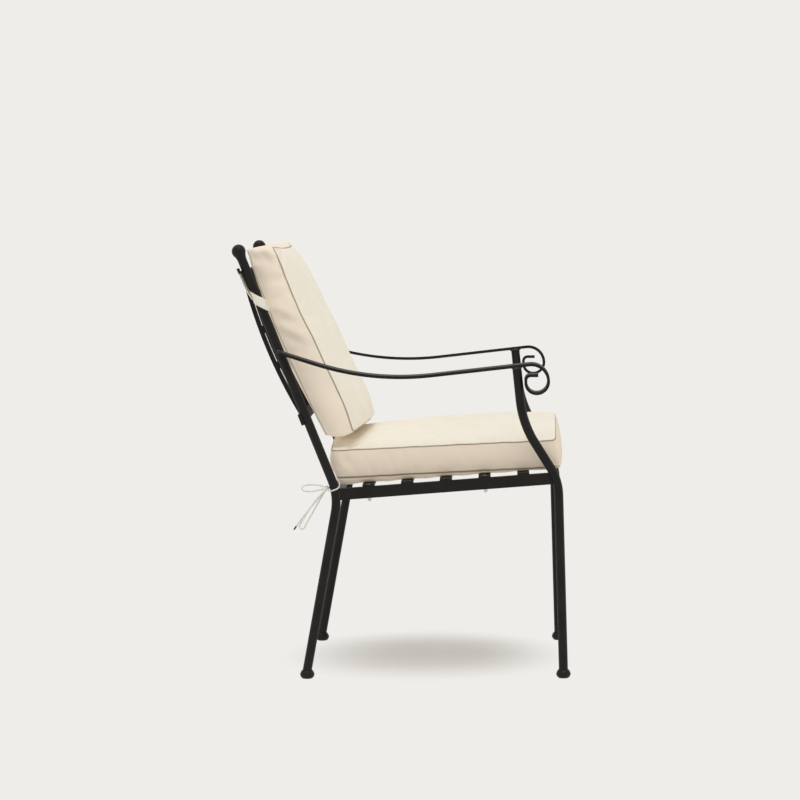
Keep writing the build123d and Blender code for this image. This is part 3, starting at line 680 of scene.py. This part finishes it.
def boxed_cushion(name, place, cloth_size, look, material, folds, welt=0.0, pale_before=-math.inf):
    """Boxed cushion: a block shaped by a place function, filled, folded and sewn."""
    bm = bmesh.new()
    gridded_block(bm, [round(size / look.quad) for size in cloth_size])
    band_shade = bm.faces.layers.float.new("band_shade")
    panel = bm.faces.layers.int.new("panel")
    uv = bm.loops.layers.uv.new(WEAVE_UV)
    held = bm.verts.layers.deform.new()
    bm.normal_update()
    for face in bm.faces:
        axis = max(range(3), key=lambda i: abs(face.normal[i]))
        face[panel] = (axis + 1) * (1 if face.normal[axis] > 0 else -1)
        # Every panel but the one facing up in the block (the seat's top, the back's front) is marked for the
        # bands' painted shade
        face[band_shade] = 0.0 if face[panel] == 3 else 1.0
        across = [i for i in range(3) if i != axis]
        for loop in face.loops:
            spot = [spread(loop.vert.co[0]), spread(loop.vert.co[1]), loop.vert.co[2]]
            loop[uv].uv = [spot[i] * cloth_size[i] / 2 for i in across]
    for vertex in bm.verts:
        a, b, c = vertex.co
        on_rim = max(abs(a), abs(b)) > NEARLY_ONE
        if abs(c) > NEARLY_ONE and (on_rim or c < 0):
            vertex[held][0] = 1.0
        vertex.co = place(spread(a), spread(b), c)
    bmesh.ops.recalc_face_normals(bm, faces=bm.faces)
    piece = finish_piece(bm, name, [material])
    piece.vertex_groups.new(name="held")
    fill_with_cloth(piece, look)
    bm = bmesh.new()
    bm.from_mesh(piece.data)
    panel = bm.faces.layers.int["panel"]
    seam = bm.verts.layers.float.new("seam")
    press_folds(bm, folds)
    noise.seed_set(NOISE_SEED)
    for side, depth in ((3, look.seam_depth), (-3, -welt if welt else look.seam_depth)):
        kinds = {edge: {face[panel] for face in edge.link_faces} for edge in bm.edges}
        edges = [edge for edge in bm.edges if side in kinds[edge] and len(kinds[edge]) == 2]
        for vertex in {v for e in edges for v in e.verts}:
            vertex.co += noise.noise_vector(vertex.co * WANDER_PITCH) * WANDER
        middle, flanks = sew(bm, edges, look.seam_width if depth > 0 else look.welt_width, depth)
        # Seams get painted shade in their middles and flanks, paler ahead of pale_before; a welt gets painted
        # shade only on its flanks
        for vertex in middle:
            vertex[seam] = seam_shade_strength(vertex.co, pale_before) if depth > 0 else 0.0
        for vertex in flanks:
            tone = seam_shade_strength(vertex.co, pale_before)
            vertex[seam] = SEAM_FLANK_TONE * tone if depth > 0 else WELT_FLANK_TONE
    bm.to_mesh(piece.data)
    bm.free()
    piece.data.shade_smooth()
    add_modifier(piece, "SUBSURF", levels=1, render_levels=1)
    return piece


class CARVER_OT_dress_frame(bpy.types.Operator):
    """Paint the metal frame and plate its bolts"""

    bl_idname = "carver.dress_frame"
    bl_label = "Dress Frame"

    def execute(self, context):
        look = context.scene.carver_frame
        paint = coat_material(
            "frame_paint", look.paint, look.paint_worn,
            metallic=0.0, roughness=0.46, specular=0.19, grain=900.0, depth=0.00008,
        )
        zinc = coat_material(
            "zinc_plate", look.zinc, shaded(look.zinc, 0.85),
            metallic=1.0, roughness=0.34, specular=0.5, grain=1500.0, depth=0.00004,
        )
        for nodes, material in ((FRAME_NODES, paint), (PLATED_NODES, zinc)):
            for node in nodes:
                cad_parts[node].data.materials.clear()
                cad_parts[node].data.materials.append(material)
        return {"FINISHED"}


class CARVER_OT_seat_cushion(bpy.types.Operator):
    """Sew and fill the seat cushion"""

    bl_idname = "carver.seat_cushion"
    bl_label = "Seat Cushion"

    def execute(self, context):
        look = context.scene.carver_cushion
        material = cushion_cloth("seat_cloth", look, look.seat_band_shade)
        cushion = boxed_cushion(
            "seat_cushion", seat_place, SEAT_CLOTH, look, material, SEAT_FOLDS, pale_before=SEAT_PALE_BEFORE
        )
        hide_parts("seat_cushion_cover", "seat_cushion_foam")
        return {"FINISHED"}


class CARVER_OT_back_cushion(bpy.types.Operator):
    """Sew and fill the back cushion"""

    bl_idname = "carver.back_cushion"
    bl_label = "Back Cushion"

    def execute(self, context):
        look = context.scene.carver_cushion
        material = cushion_cloth("back_cloth", look, look.band_shade)
        cushion = boxed_cushion(
            "back_cushion", back_place, BACK_CLOTH, look, material, BACK_FOLDS, welt=look.welt
        )
        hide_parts("back_cushion_cover", "back_cushion_foam")
        return {"FINISHED"}


# Back straps in metres, from a place on the post: edges of the slanted band round it, and their kept side
STRAP_DROP = 0.109
STRAP_SLANT = math.radians(49.5)
STRAP_EDGES = ((0.0125, 1), (-0.0163, -1))
STRAP_LIFT = 0.0009  # from the tube to the middle of the cloth
STRAP_THICKNESS = 0.0011
SLEEVE_LENGTH = 0.09

# Tongue of a strap, from the post to the cushion's side
TONGUE_END_X = 0.2062
TONGUE_HALF_WIDTH = 0.0144
TONGUE_DROP = 0.0160
TONGUE_SAG = 0.0012
TONGUE_STEP = 0.0006

# Loose tail of a strap, up the rear of the post, its end painted near-black as shade
TAIL_START = 0.0048
TAIL_LENGTH = 0.072
TAIL_HALF_WIDTH = 0.0098
TAIL_CLEARANCE = 0.0012
TAIL_LEAN = 0.0061
TAIL_WAVE = 0.0012
TAIL_CUP = 0.0012
TAIL_TWIST = 0.0017
TAIL_SWAY = 0.0008
TAIL_SHADE_START = 0.62  # where the painted shade starts, on a run from -1 to 1
TAIL_SHADE_PITCH = 0.0009


class CARVER_OT_back_straps(bpy.types.Operator):
    """Fold the back cushion's straps round the posts"""

    bl_idname = "carver.back_straps"
    bl_label = "Back Straps"

    def sleeve(self, bm):
        """Band round the post, cut along the strap's slanted edges."""
        radius = TUBE_RADIUS + STRAP_LIFT
        bmesh.ops.create_cone(
            bm, cap_ends=False, segments=48, radius1=radius, radius2=radius, depth=SLEEVE_LENGTH
        )
        upright = [e for e in bm.edges if abs(e.verts[0].co.z - e.verts[1].co.z) > SLEEVE_LENGTH / 2]
        bmesh.ops.subdivide_edges(bm, edges=upright, cuts=11, use_grid_fill=True)
        across = Vector((0, math.sin(STRAP_SLANT), math.cos(STRAP_SLANT)))
        for middle, keep in STRAP_EDGES:
            bmesh.ops.bisect_plane(
                bm,
                geom=bm.verts[:] + bm.edges[:] + bm.faces[:],
                plane_co=(0, 0, middle),
                plane_no=across * keep,
                clear_outer=True,
            )

    def tongue(self, bm):
        """Short run from the post to the cushion's side."""
        for vertex in bmesh.ops.create_grid(bm, x_segments=8, y_segments=6, size=1.0)["verts"]:
            run = (1 - vertex.co.x) / 2
            ease = run * run * (3 - 2 * run)
            vertex.co = (
                -run * (LEG_X - TONGUE_END_X),
                TUBE_RADIUS + STRAP_LIFT + TONGUE_STEP * ease,
                vertex.co.y * TONGUE_HALF_WIDTH - TONGUE_DROP - TONGUE_SAG * math.sin(run * math.pi),
            )

    def tail(self, bm):
        """Loose tail up the post, with painted shade on its end."""
        verts = bmesh.ops.create_grid(bm, x_segments=6, y_segments=18, size=1.0)["verts"]
        for face in {f for v in verts for f in v.link_faces}:
            face.material_index = 1 if face.calc_center_median().y > TAIL_SHADE_START else 0
        for vertex in verts:
            across, run = vertex.co.x, (vertex.co.y + 1) / 2
            lift = TAIL_LEAN * run + TAIL_WAVE * math.sin(run * math.pi * 1.5)
            cup = TAIL_CUP * (1 - across**2) * run
            twist = TAIL_TWIST * across * min(1, 3 * run)
            vertex.co = (
                across * TAIL_HALF_WIDTH + TAIL_SWAY * math.sin(run * 5),
                -(TUBE_RADIUS + TAIL_CLEARANCE + lift) - cup - twist,
                TAIL_START + TAIL_LENGTH * run,
            )

    def execute(self, context):
        look = context.scene.carver_tie
        thread_pitch = context.scene.carver_cushion.thread_pitch
        cloth = cloth_material("strap_cloth", look.strap, shaded(look.strap, 0.86), thread_pitch)
        # The tail's end gets a near-black cloth as painted shade
        tail_shade_cloth = cloth_material("strap_tail_shade", look.tail_shade, shaded(look.tail_shade, 0.6), TAIL_SHADE_PITCH)
        for name, side in SIDES.items():
            turn = Matrix((Vector((side, 0, 0)), back_front, back_up)).transposed().to_4x4()
            turn.translation = on_back(side * LEG_X, -STRAP_DROP, 0)
            bm = bmesh.new()
            self.sleeve(bm)
            self.tongue(bm)
            self.tail(bm)
            bmesh.ops.transform(bm, matrix=turn, verts=bm.verts)
            bmesh.ops.remove_doubles(bm, verts=bm.verts, dist=MERGE_DISTANCE)
            strap = finish_piece(bm, f"back_strap_cloth_{name}", [cloth, tail_shade_cloth])
            add_modifier(strap, "SOLIDIFY", thickness=STRAP_THICKNESS, offset=0.0)
            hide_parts(f"back_strap_{name}")
        return {"FINISHED"}


# Tie cords in metres: the knot, ring and cushion corner of the left side, and the strands round its post
KNOT_CENTRE = Vector((0.238, 0.1576, 0.402))
RING_CENTRE = Vector((0.235, 0.143, 0.407))
TIE_CORNER = Vector((0.2188, 0.1364, 0.4205))
TIE_STRAND_STEP = Vector((0, 0.003, 0.001))  # between the two strands at the corner
TIE_ROUND_POST = {
    "left": ((0.2262, 0.1325, 0.4140), (0.2365, 0.1305, 0.4075), (0.2455, 0.1335, 0.4055)),
    "right": (
        (0.2262, 0.1325, 0.4140), (0.2365, 0.1303, 0.4060), (0.2452, 0.1342, 0.4015),
        (0.2478, 0.1420, 0.3985), (0.2450, 0.1505, 0.3962), (0.2405, 0.1550, 0.3980),
    ),
}
TIE_BEHIND_POST = {
    "left": (
        (0.2236, 0.1385, 0.4098), (0.2224, 0.1439, 0.4064), (0.2247, 0.1492, 0.4032),
        (0.2297, 0.1529, 0.4010), (0.2361, 0.1540, 0.4004), (0.2416, 0.1524, 0.4014),
    ),
    "right": (
        (0.2236, 0.1385, 0.4098), (0.2224, 0.1439, 0.4064), (0.2247, 0.1492, 0.4032),
        (0.2300, 0.1538, 0.4008),
    ),
}

# Points of a bow that hangs behind the left post
TIE_LOOP = (
    (0.2386, 0.1627, 0.4044), (0.2396, 0.1708, 0.4077), (0.2414, 0.1820, 0.4094), (0.2430, 0.1944, 0.4096),
    (0.2438, 0.2036, 0.4085), (0.2440, 0.2088, 0.4052), (0.2439, 0.2094, 0.3998), (0.2434, 0.2050, 0.3964),
    (0.2422, 0.1960, 0.3954), (0.2406, 0.1836, 0.3958), (0.2392, 0.1720, 0.3982), (0.2386, 0.1631, 0.4006),
)
TIE_FOLD = (
    (0.2416, 0.1613, 0.3978), (0.2426, 0.1756, 0.3834), (0.2438, 0.1886, 0.3662), (0.2446, 0.2000, 0.3488),
    (0.2450, 0.2086, 0.3344), (0.2452, 0.2142, 0.3262), (0.2450, 0.2154, 0.3194), (0.2441, 0.2106, 0.3156),
    (0.2431, 0.2052, 0.3186), (0.2424, 0.2006, 0.3280), (0.2416, 0.1932, 0.3412), (0.2402, 0.1834, 0.3576),
    (0.2388, 0.1728, 0.3768), (0.2380, 0.1604, 0.3971),
)
TIE_END = (
    (0.2340, 0.1604, 0.3972), (0.2342, 0.1764, 0.3798), (0.2344, 0.1938, 0.3589), (0.2348, 0.2112, 0.3372),
    (0.2358, 0.2271, 0.3151),
)

# Left bow, swung outside its post: how much of its reach it loses past the knot, and its shift
SWING_LOSS = 0.25
SWING_START = 0.010
SWING_SHIFT = Vector((0.0006, 0, 0.003))

# Turns of a knot: place, turns about X, Y and Z in radians, and radius
KNOT_TURNS = (
    ((0, 0, 0), (0.3, 0.4, 0), 0.0032),
    ((0, 0.0008, -0.0006), (1.5, 0.2, 0.6), 0.0030),
    ((0.0006, -0.0004, 0.0008), (0.9, -0.9, 0.2), 0.0031),
)

# Sleeve on a cord's free end, from its point: radius in cord diameters, and height in metres
TIP_PROFILE = (
    (0.0, 0.0012), (0.34, 0.0009), (0.54, 0.0), (0.58, -0.0035), (0.56, -0.0075), (0.48, -0.0085),
)
TIP_MERGE_DISTANCE = 0.00002
CORD_PITCH = 0.0008


def cord_curve(name, points, diameter, material):
    """Round cord on one smooth open spline, and its length."""
    curve = bpy.data.curves.new(name, "CURVE")
    curve.dimensions = "3D"
    curve.bevel_depth = diameter / 2
    curve.bevel_resolution = 3
    curve.use_fill_caps = True
    curve.resolution_u = 8
    spline = curve.splines.new("NURBS")
    spline.points.add(len(points) - 1)
    for place, point in zip(spline.points, points):
        place.co = (*point, 1)
    spline.order_u = 3
    spline.use_endpoint_u = True
    curve.materials.append(material)
    cord = bpy.data.objects.new(name, curve)
    bpy.context.scene.collection.objects.link(cord)
    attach(cord, "root")
    return cord, spline.calc_length()


def swung_out(point):
    """Place of a bow's point once the bow hangs outside the left post."""
    x, y, z = point
    drawn_in = SWING_LOSS * max(0.0, y - KNOT_CENTRE.y - SWING_START)
    follow = max(0.0, POST_BEND_HEIGHT - z) * math.tan(REAR_LEG_SPLAY)
    swung = Vector((LEG_X + y - RING_CENTRE.y - drawn_in, RING_CENTRE.y - (x - LEG_X) + follow, z))
    return swung + SWING_SHIFT


def as_tied(side, point):
    """Place of a bow's point on its own side of the chair."""
    return swung_out(point) if side > 0 else Vector(point) * Vector((-1, 1, 1))


class CARVER_OT_seat_ties(bpy.types.Operator):
    """Tie the seat cushion to the back posts"""

    bl_idname = "carver.seat_ties"
    bl_label = "Seat Ties"

    def knot(self, name, centre, thick, material):
        """Turns of cord drawn tight over each other."""
        bm = bmesh.new()
        for place, turns, radius in KNOT_TURNS:
            others = set(bm.verts)
            spin_round(bm, ring_section(bm, thick, radius, segments=12), steps=20)
            ring = [v for v in bm.verts if v not in others]
            about_x, about_y, about_z = (Matrix.Rotation(turn, 3, axis) for turn, axis in zip(turns, "XYZ"))
            bmesh.ops.rotate(bm, verts=ring, cent=(0, 0, 0), matrix=about_x @ about_y @ about_z)
            bmesh.ops.translate(bm, verts=ring, vec=Vector(place) + centre)
        bmesh.ops.remove_doubles(bm, verts=bm.verts, dist=MERGE_DISTANCE)
        bmesh.ops.recalc_face_normals(bm, faces=bm.faces)
        knot = finish_piece(bm, f"seat_tie_knot_{name}", [material])
        return knot

    def sealed_tip(self, name, before, end, thick, material):
        """Sealed sleeve on a cord's free end."""
        bm = bmesh.new()
        profile = [bm.verts.new((radius * thick, 0, height)) for radius, height in TIP_PROFILE]
        edges = [bm.edges.new(pair) for pair in zip(profile, profile[1:])]
        spin_round(bm, profile + edges, steps=16)
        bmesh.ops.remove_doubles(bm, verts=bm.verts, dist=TIP_MERGE_DISTANCE)
        bmesh.ops.recalc_face_normals(bm, faces=bm.faces)
        turn = (end - before).to_track_quat("Z", "Y").to_matrix()
        bmesh.ops.rotate(bm, verts=bm.verts, cent=(0, 0, 0), matrix=turn)
        bmesh.ops.translate(bm, verts=bm.verts, vec=end)
        tip = finish_piece(bm, f"seat_tie_tip_{name}", [material])
        return tip

    def execute(self, context):
        look = context.scene.carver_tie
        thick = look.cord_diameter
        cloth = cloth_material("tie_cord", look.cord, shaded(look.cord, 0.8), CORD_PITCH)
        sealed = coat_material(
            "tie_tip", look.cord_tip, shaded(look.cord_tip, 0.6),
            metallic=0.0, roughness=0.5, specular=0.3, grain=900.0, depth=0.00006,
        )
        for name, side in SIDES.items():
            flip = Vector((side, 1, 1))
            knot_centre = as_tied(side, KNOT_CENTRE)
            corner = TIE_CORNER * flip
            route = [corner, *[Vector(p) * flip for p in TIE_ROUND_POST[name]], knot_centre]
            second_corner = corner - TIE_STRAND_STEP
            back_route = [second_corner, *[Vector(p) * flip for p in TIE_BEHIND_POST[name]], knot_centre]
            wrap, reach = cord_curve(f"seat_tie_wrap_{name}", route, thick, cloth)
            return_wrap, return_reach = cord_curve(f"seat_tie_return_{name}", back_route, thick, cloth)
            knot = self.knot(name, knot_centre, thick, cloth)
            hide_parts(f"seat_tie_{name}")
            for part, points, far_end, lay in (
                ("loop", TIE_LOOP, "knot", "loose"),
                ("fold", TIE_FOLD, "knot", "hanging"),
                ("end", TIE_END, "bare", "hanging"),
            ):
                run = [as_tied(side, p) for p in points]
                cord, reach = cord_curve(f"seat_tie_{part}_cord_{name}", run, thick, cloth)
                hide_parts(f"seat_tie_{part}_{name}")
                tips = [self.sealed_tip(name, run[-2], run[-1], thick, sealed)] if part == "end" else []
        return {"FINISHED"}


# Welds in metres: grain and size of the lumps on a bead, and the length of its rows
WELD_GRAIN = 520.0
RING_LUMPS = 0.0006
RUN_LUMPS = 0.0004
WELD_ROW = 0.0015

# Arm welds of the left side: a ring on the arm post and three beads side by side on the back post
ARM_FRONT_JOINT = Vector((0.2972, -0.2403, 0.6566))
ARM_FRONT_NORMAL = Vector((0.0866, 0.106, 0.990)).normalized()
ARM_RING_RADIUS = TUBE_RADIUS + 0.0004
ARM_RING_BEAD = 1.3
ARM_REAR_JOINT = Vector((0.2463, 0.2512, 0.6878))
ARM_REAR_RUN = Vector((0, 0.962, 0.272))
ARM_REAR_SHIFTS = (-0.0035, 0.0, 0.0035)
ARM_REAR_HALF_LENGTH = 0.0050
ARM_REAR_BEAD = 1.4

# Beads between the back's rails and a post: across from its axis, forward, foot and top up the post, and size
POST_WELDS = (
    (-0.0094, 0.0013, -0.0625, -0.0395, 0.6),
    (-0.0083, -0.0047, -0.0625, -0.0395, 0.6),
    (-0.0050, -0.0092, -0.3845, -0.3625, 0.7),
    (0.0050, -0.0092, -0.3845, -0.3625, 0.7),
)

# Beads at both faces of a side rail: along the seat and their height, at a leg and at a post
RAIL_FACE = 0.0062
RAIL_FOOT = 0.0225
RAIL_WELDS = ((0.0068, 0.016), (0.4558, 0.021))
RAIL_BEAD = 0.7

# Beads under both edges of the slats that have no bolts
WELDED_SLATS = (0, 2, 3)
SLAT_EDGE = 0.0127
SLAT_WELD_ENDS = (LEG_X - 0.005, LEG_X + 0.0055)
SLAT_WELD_HEIGHT = 0.0003
SLAT_BEAD = 0.6

# Beads on the back's uprights: up the back and forward, with their size, at the rails and at the cross bars
UPRIGHT_COUNT = 5
FIRST_UPRIGHT = -0.209
UPRIGHT_PITCH = 0.1045
UPRIGHT_HALF_SIZE = 0.0045
UPRIGHT_ENDS = ((-0.0634, -0.0066, 1.1), (-0.3613, -0.0099, 0.7))
CROSS_BARS = ((-0.170, -0.0163), (-0.251, -0.0155))
CROSS_BAR_EDGE = 0.0076
CROSS_BAR_BEAD = 0.45


def roughen(verts, size):
    """Uneven surface of a weld, from one set pattern."""
    for vertex in verts:
        vertex.co += noise.noise_vector(vertex.co * WELD_GRAIN) * size


def weld_ring(bm, centre, axis, radius, bead):
    """Lumpy bead round the end of a tube, made first in an empty mesh."""
    spin_round(bm, ring_section(bm, bead, radius, segments=10), steps=40)
    bmesh.ops.rotate(bm, verts=bm.verts, cent=(0, 0, 0), matrix=axis.to_track_quat("Z", "Y").to_matrix())
    bmesh.ops.translate(bm, verts=bm.verts, vec=centre)
    roughen(bm.verts, RING_LUMPS)


def weld_run(bm, start, end, bead):
    """Lumpy bead along a straight joint, rounded at its ends."""
    run = end - start
    rows = max(8, round(run.length / WELD_ROW))
    verts = bmesh.ops.create_uvsphere(bm, u_segments=8, v_segments=rows, radius=1.0)["verts"]
    for vertex in verts:
        along = 2 / math.pi * math.asin(clamp(vertex.co.z, -1.0, 1.0))
        girth = math.hypot(vertex.co.x, vertex.co.y)
        fuller = bead / 2 * math.sqrt(1 - along**6) / girth if girth > TINY else 0.0
        vertex.co = (vertex.co.x * fuller, vertex.co.y * fuller, along * run.length / 2)
    bmesh.ops.rotate(bm, verts=verts, cent=(0, 0, 0), matrix=run.to_track_quat("Z", "Y").to_matrix())
    bmesh.ops.translate(bm, verts=verts, vec=(start + end) / 2)
    roughen(verts, RUN_LUMPS)


class CARVER_OT_welds(bpy.types.Operator):
    """Lay weld beads where tubes and bars meet"""

    bl_idname = "carver.welds"
    bl_label = "Weld Beads"

    def side_welds(self, bm, bead):
        """Welds of the left side's arm, back rails, side rail and slats."""
        weld_ring(bm, ARM_FRONT_JOINT, ARM_FRONT_NORMAL, ARM_RING_RADIUS, ARM_RING_BEAD * bead)
        half = back_up * ARM_REAR_HALF_LENGTH
        for shift in ARM_REAR_SHIFTS:
            middle = ARM_REAR_JOINT + ARM_REAR_RUN * shift
            weld_run(bm, middle - half, middle + half, ARM_REAR_BEAD * bead)
        for across, forward, foot, top, thick in POST_WELDS:
            ends = [on_back(LEG_X + across, height, forward) for height in (foot, top)]
            weld_run(bm, *ends, thick * bead)
        for across in (-RAIL_FACE, RAIL_FACE):
            for v, rise in RAIL_WELDS:
                ends = [on_seat(LEG_X + across, v, height - RAIL_FOOT) for height in (0, rise)]
                weld_run(bm, *ends, RAIL_BEAD * bead)
        for slat in WELDED_SLATS:
            for edge in (-SLAT_EDGE, SLAT_EDGE):
                v = FIRST_SLAT + SLAT_PITCH * slat + edge
                ends = [on_seat(x, v, SLAT_WELD_HEIGHT) for x in SLAT_WELD_ENDS]
                weld_run(bm, *ends, SLAT_BEAD * bead)

    def back_welds(self, bm, bead):
        """Welds of the back's uprights."""
        places = list(UPRIGHT_ENDS)
        for height, forward in CROSS_BARS:
            places += [(height + edge, forward, CROSS_BAR_BEAD) for edge in (-CROSS_BAR_EDGE, CROSS_BAR_EDGE)]
        for upright in range(UPRIGHT_COUNT):
            x = FIRST_UPRIGHT + UPRIGHT_PITCH * upright
            for height, forward, thick in places:
                ends = [on_back(x + side * UPRIGHT_HALF_SIZE, height, forward) for side in (-1, 1)]
                weld_run(bm, *ends, thick * bead)

    def finish_welds(self, bm, name):
        """Painted object of a set of welds."""
        bmesh.ops.recalc_face_normals(bm, faces=bm.faces)
        welds = finish_piece(bm, f"weld_beads_{name}", [bpy.data.materials["frame_paint"]])

    def execute(self, context):
        bead = context.scene.carver_frame.bead
        noise.seed_set(NOISE_SEED)
        for name, side in SIDES.items():
            bm = bmesh.new()
            self.side_welds(bm, bead)
            bmesh.ops.scale(bm, vec=Vector((side, 1, 1)), verts=bm.verts)
            self.finish_welds(bm, name)
        bm = bmesh.new()
        self.back_welds(bm, bead)
        self.finish_welds(bm, "back")
        return {"FINISHED"}


# Stage: half size of the floor, ends of the light's bands by height, and the camera fitted to the photograph
FLOOR_HALF_SIZE = 40.0
SKY_LOW_END = 0.36
SKY_MIDDLE_START = 0.50
SKY_MIDDLE_END = 0.88
SKY_TOP_START = 0.95
CAMERA_PLACE = Vector((-5.6987, -0.2106, 1.0216))
CAMERA_YAW = math.radians(2.236)
CAMERA_PITCH = math.radians(4.559)
CAMERA_ROLL = math.radians(0.525)


def floor_material(look):
    """Pale paper that glows by itself, less so in an oval under the chair, which takes the shadow."""
    material, tree, shader = new_material("floor_paper")
    place = add_node(tree, "TexCoord", {}).outputs["Object"]
    offset = vector_maths(tree, "SUBTRACT", place, look.shadow_middle)["Vector"]
    reach = vector_maths(tree, "DIVIDE", offset, look.shadow_reach)["Vector"]
    away = vector_maths(tree, "DOT_PRODUCT", reach, reach)["Value"]
    rise = {"Value": away, "To Min": look.floor_glow, "To Max": 1.0}
    glow = add_node(tree, "MapRange", rise, interpolation_type="SMOOTHSTEP").outputs["Result"]
    lit = maths(tree, "SUBTRACT", 1.0, glow)
    for share, socket in ((lit, "Base Color"), (glow, "Emission Color")):
        tone = add_node(tree, "VectorMath", {}, operation="SCALE")
        give(tree, tone, {0: look.floor, "Scale": share})
        give(tree, shader, {socket: tone.outputs["Vector"]})
    give(tree, shader, {"Roughness": 1.0, "Specular IOR Level": 0.0, "Emission Strength": 1.0})
    return material


def studio_world(look):
    """Soft light all round, brighter low down and overhead, behind a background of the floor's colour."""
    world = bpy.data.worlds.new("studio")
    world.use_nodes = True
    tree = world.node_tree
    way = add_node(tree, "TexCoord", {}).outputs["Generated"]
    height = add_node(tree, "SeparateXYZ", {"Vector": way}).outputs["Z"]
    sweep = add_node(tree, "ValToRGB", {"Fac": height})
    steps = sweep.color_ramp.elements
    steps[0].position, steps[1].position = SKY_LOW_END, SKY_MIDDLE_START
    steps[0].color, steps[1].color = (*look.sky_low, 1), (look.sky_middle,) * 3 + (1,)
    for position, tone in ((SKY_MIDDLE_END, look.sky_middle), (SKY_TOP_START, 1.0)):
        steps.new(position).color = (tone, tone, tone, 1)
    fill = tree.nodes["Background"]
    give(tree, fill, {"Color": sweep.outputs["Color"], "Strength": look.sky})
    shown = add_node(tree, "Background", {"Color": (*look.floor, 1)})
    rays = add_node(tree, "LightPath", {}).outputs
    seen = maths(tree, "MAXIMUM", rays["Is Camera Ray"], rays["Is Glossy Ray"])
    seen = maths(tree, "MAXIMUM", seen, rays["Is Transmission Ray"])
    mix = add_node(tree, "MixShader", {0: seen, 1: fill.outputs[0], 2: shown.outputs[0]})
    give(tree, tree.nodes["World Output"], {"Surface": mix.outputs["Shader"]})
    return world


class CARVER_OT_stage(bpy.types.Operator):
    """Set the floor, the light and the camera"""

    bl_idname = "carver.stage"
    bl_label = "Stage"

    def execute(self, context):
        look = context.scene.carver_stage
        scene = context.scene
        scene.view_settings.view_transform = "Standard"
        bm = bmesh.new()
        bmesh.ops.create_grid(bm, x_segments=8, y_segments=8, size=FLOOR_HALF_SIZE)
        mesh = bpy.data.meshes.new("floor")
        bm.to_mesh(mesh)
        bm.free()
        mesh.materials.append(floor_material(look))
        floor = bpy.data.objects.new("floor", mesh)
        scene.collection.objects.link(floor)

        scene.world = studio_world(look)
        lamp = bpy.data.lights.new("overhead", "SUN")
        lamp.energy = look.key
        lamp.angle = look.key_angle
        key = bpy.data.objects.new("overhead", lamp)
        key.rotation_euler.y = -look.key_tilt
        scene.collection.objects.link(key)

        lens = bpy.data.cameras.new("camera")
        lens.lens = look.lens
        lens.sensor_width = 36.0
        camera = bpy.data.objects.new("camera", lens)
        camera.matrix_world = (
            Matrix.Translation(CAMERA_PLACE)
            @ Matrix.Rotation(CAMERA_YAW - math.pi / 2, 4, "Z")
            @ Matrix.Rotation(math.pi / 2 - CAMERA_PITCH, 4, "X")
            @ Matrix.Rotation(-CAMERA_ROLL, 4, "Z")
        )
        scene.collection.objects.link(camera)
        scene.camera = camera
        return {"FINISHED"}


OPERATORS = (
    CARVER_OT_stage,
    CARVER_OT_seat_ties,
    CARVER_OT_dress_frame,
    CARVER_OT_welds,
    CARVER_OT_seat_cushion,
    CARVER_OT_back_cushion,
    CARVER_OT_back_straps,
)
LOOKS = {
    "carver_frame": CarverFrameLook,
    "carver_cushion": CarverCushionLook,
    "carver_tie": CarverTieLook,
    "carver_stage": CarverStageLook,
}


class CARVER_PT_sidebar(bpy.types.Panel):
    """Pieces of the carver chair"""

    bl_idname = "CARVER_PT_sidebar"
    bl_label = "Carver Chair"
    bl_space_type = "VIEW_3D"
    bl_region_type = "UI"
    bl_category = "Carver"

    def draw(self, context):
        for operator in OPERATORS:
            self.layout.operator(operator.bl_idname)


def register():
    for name, look in LOOKS.items():
        bpy.utils.register_class(look)
        setattr(bpy.types.Scene, name, PointerProperty(type=look))
    for operator in OPERATORS:
        bpy.utils.register_class(operator)
    bpy.utils.register_class(CARVER_PT_sidebar)


def unregister():
    bpy.utils.unregister_class(CARVER_PT_sidebar)
    for operator in reversed(OPERATORS):
        bpy.utils.unregister_class(operator)
    for name, look in reversed(LOOKS.items()):
        delattr(bpy.types.Scene, name)
        bpy.utils.unregister_class(look)


def main():
    register()
    bpy.ops.carver.stage()
    bpy.ops.carver.seat_ties()
    bpy.ops.carver.dress_frame()
    bpy.ops.carver.welds()
    bpy.ops.carver.seat_cushion()
    bpy.ops.carver.back_cushion()
    bpy.ops.carver.back_straps()


if __name__ == "__main__":
    main()
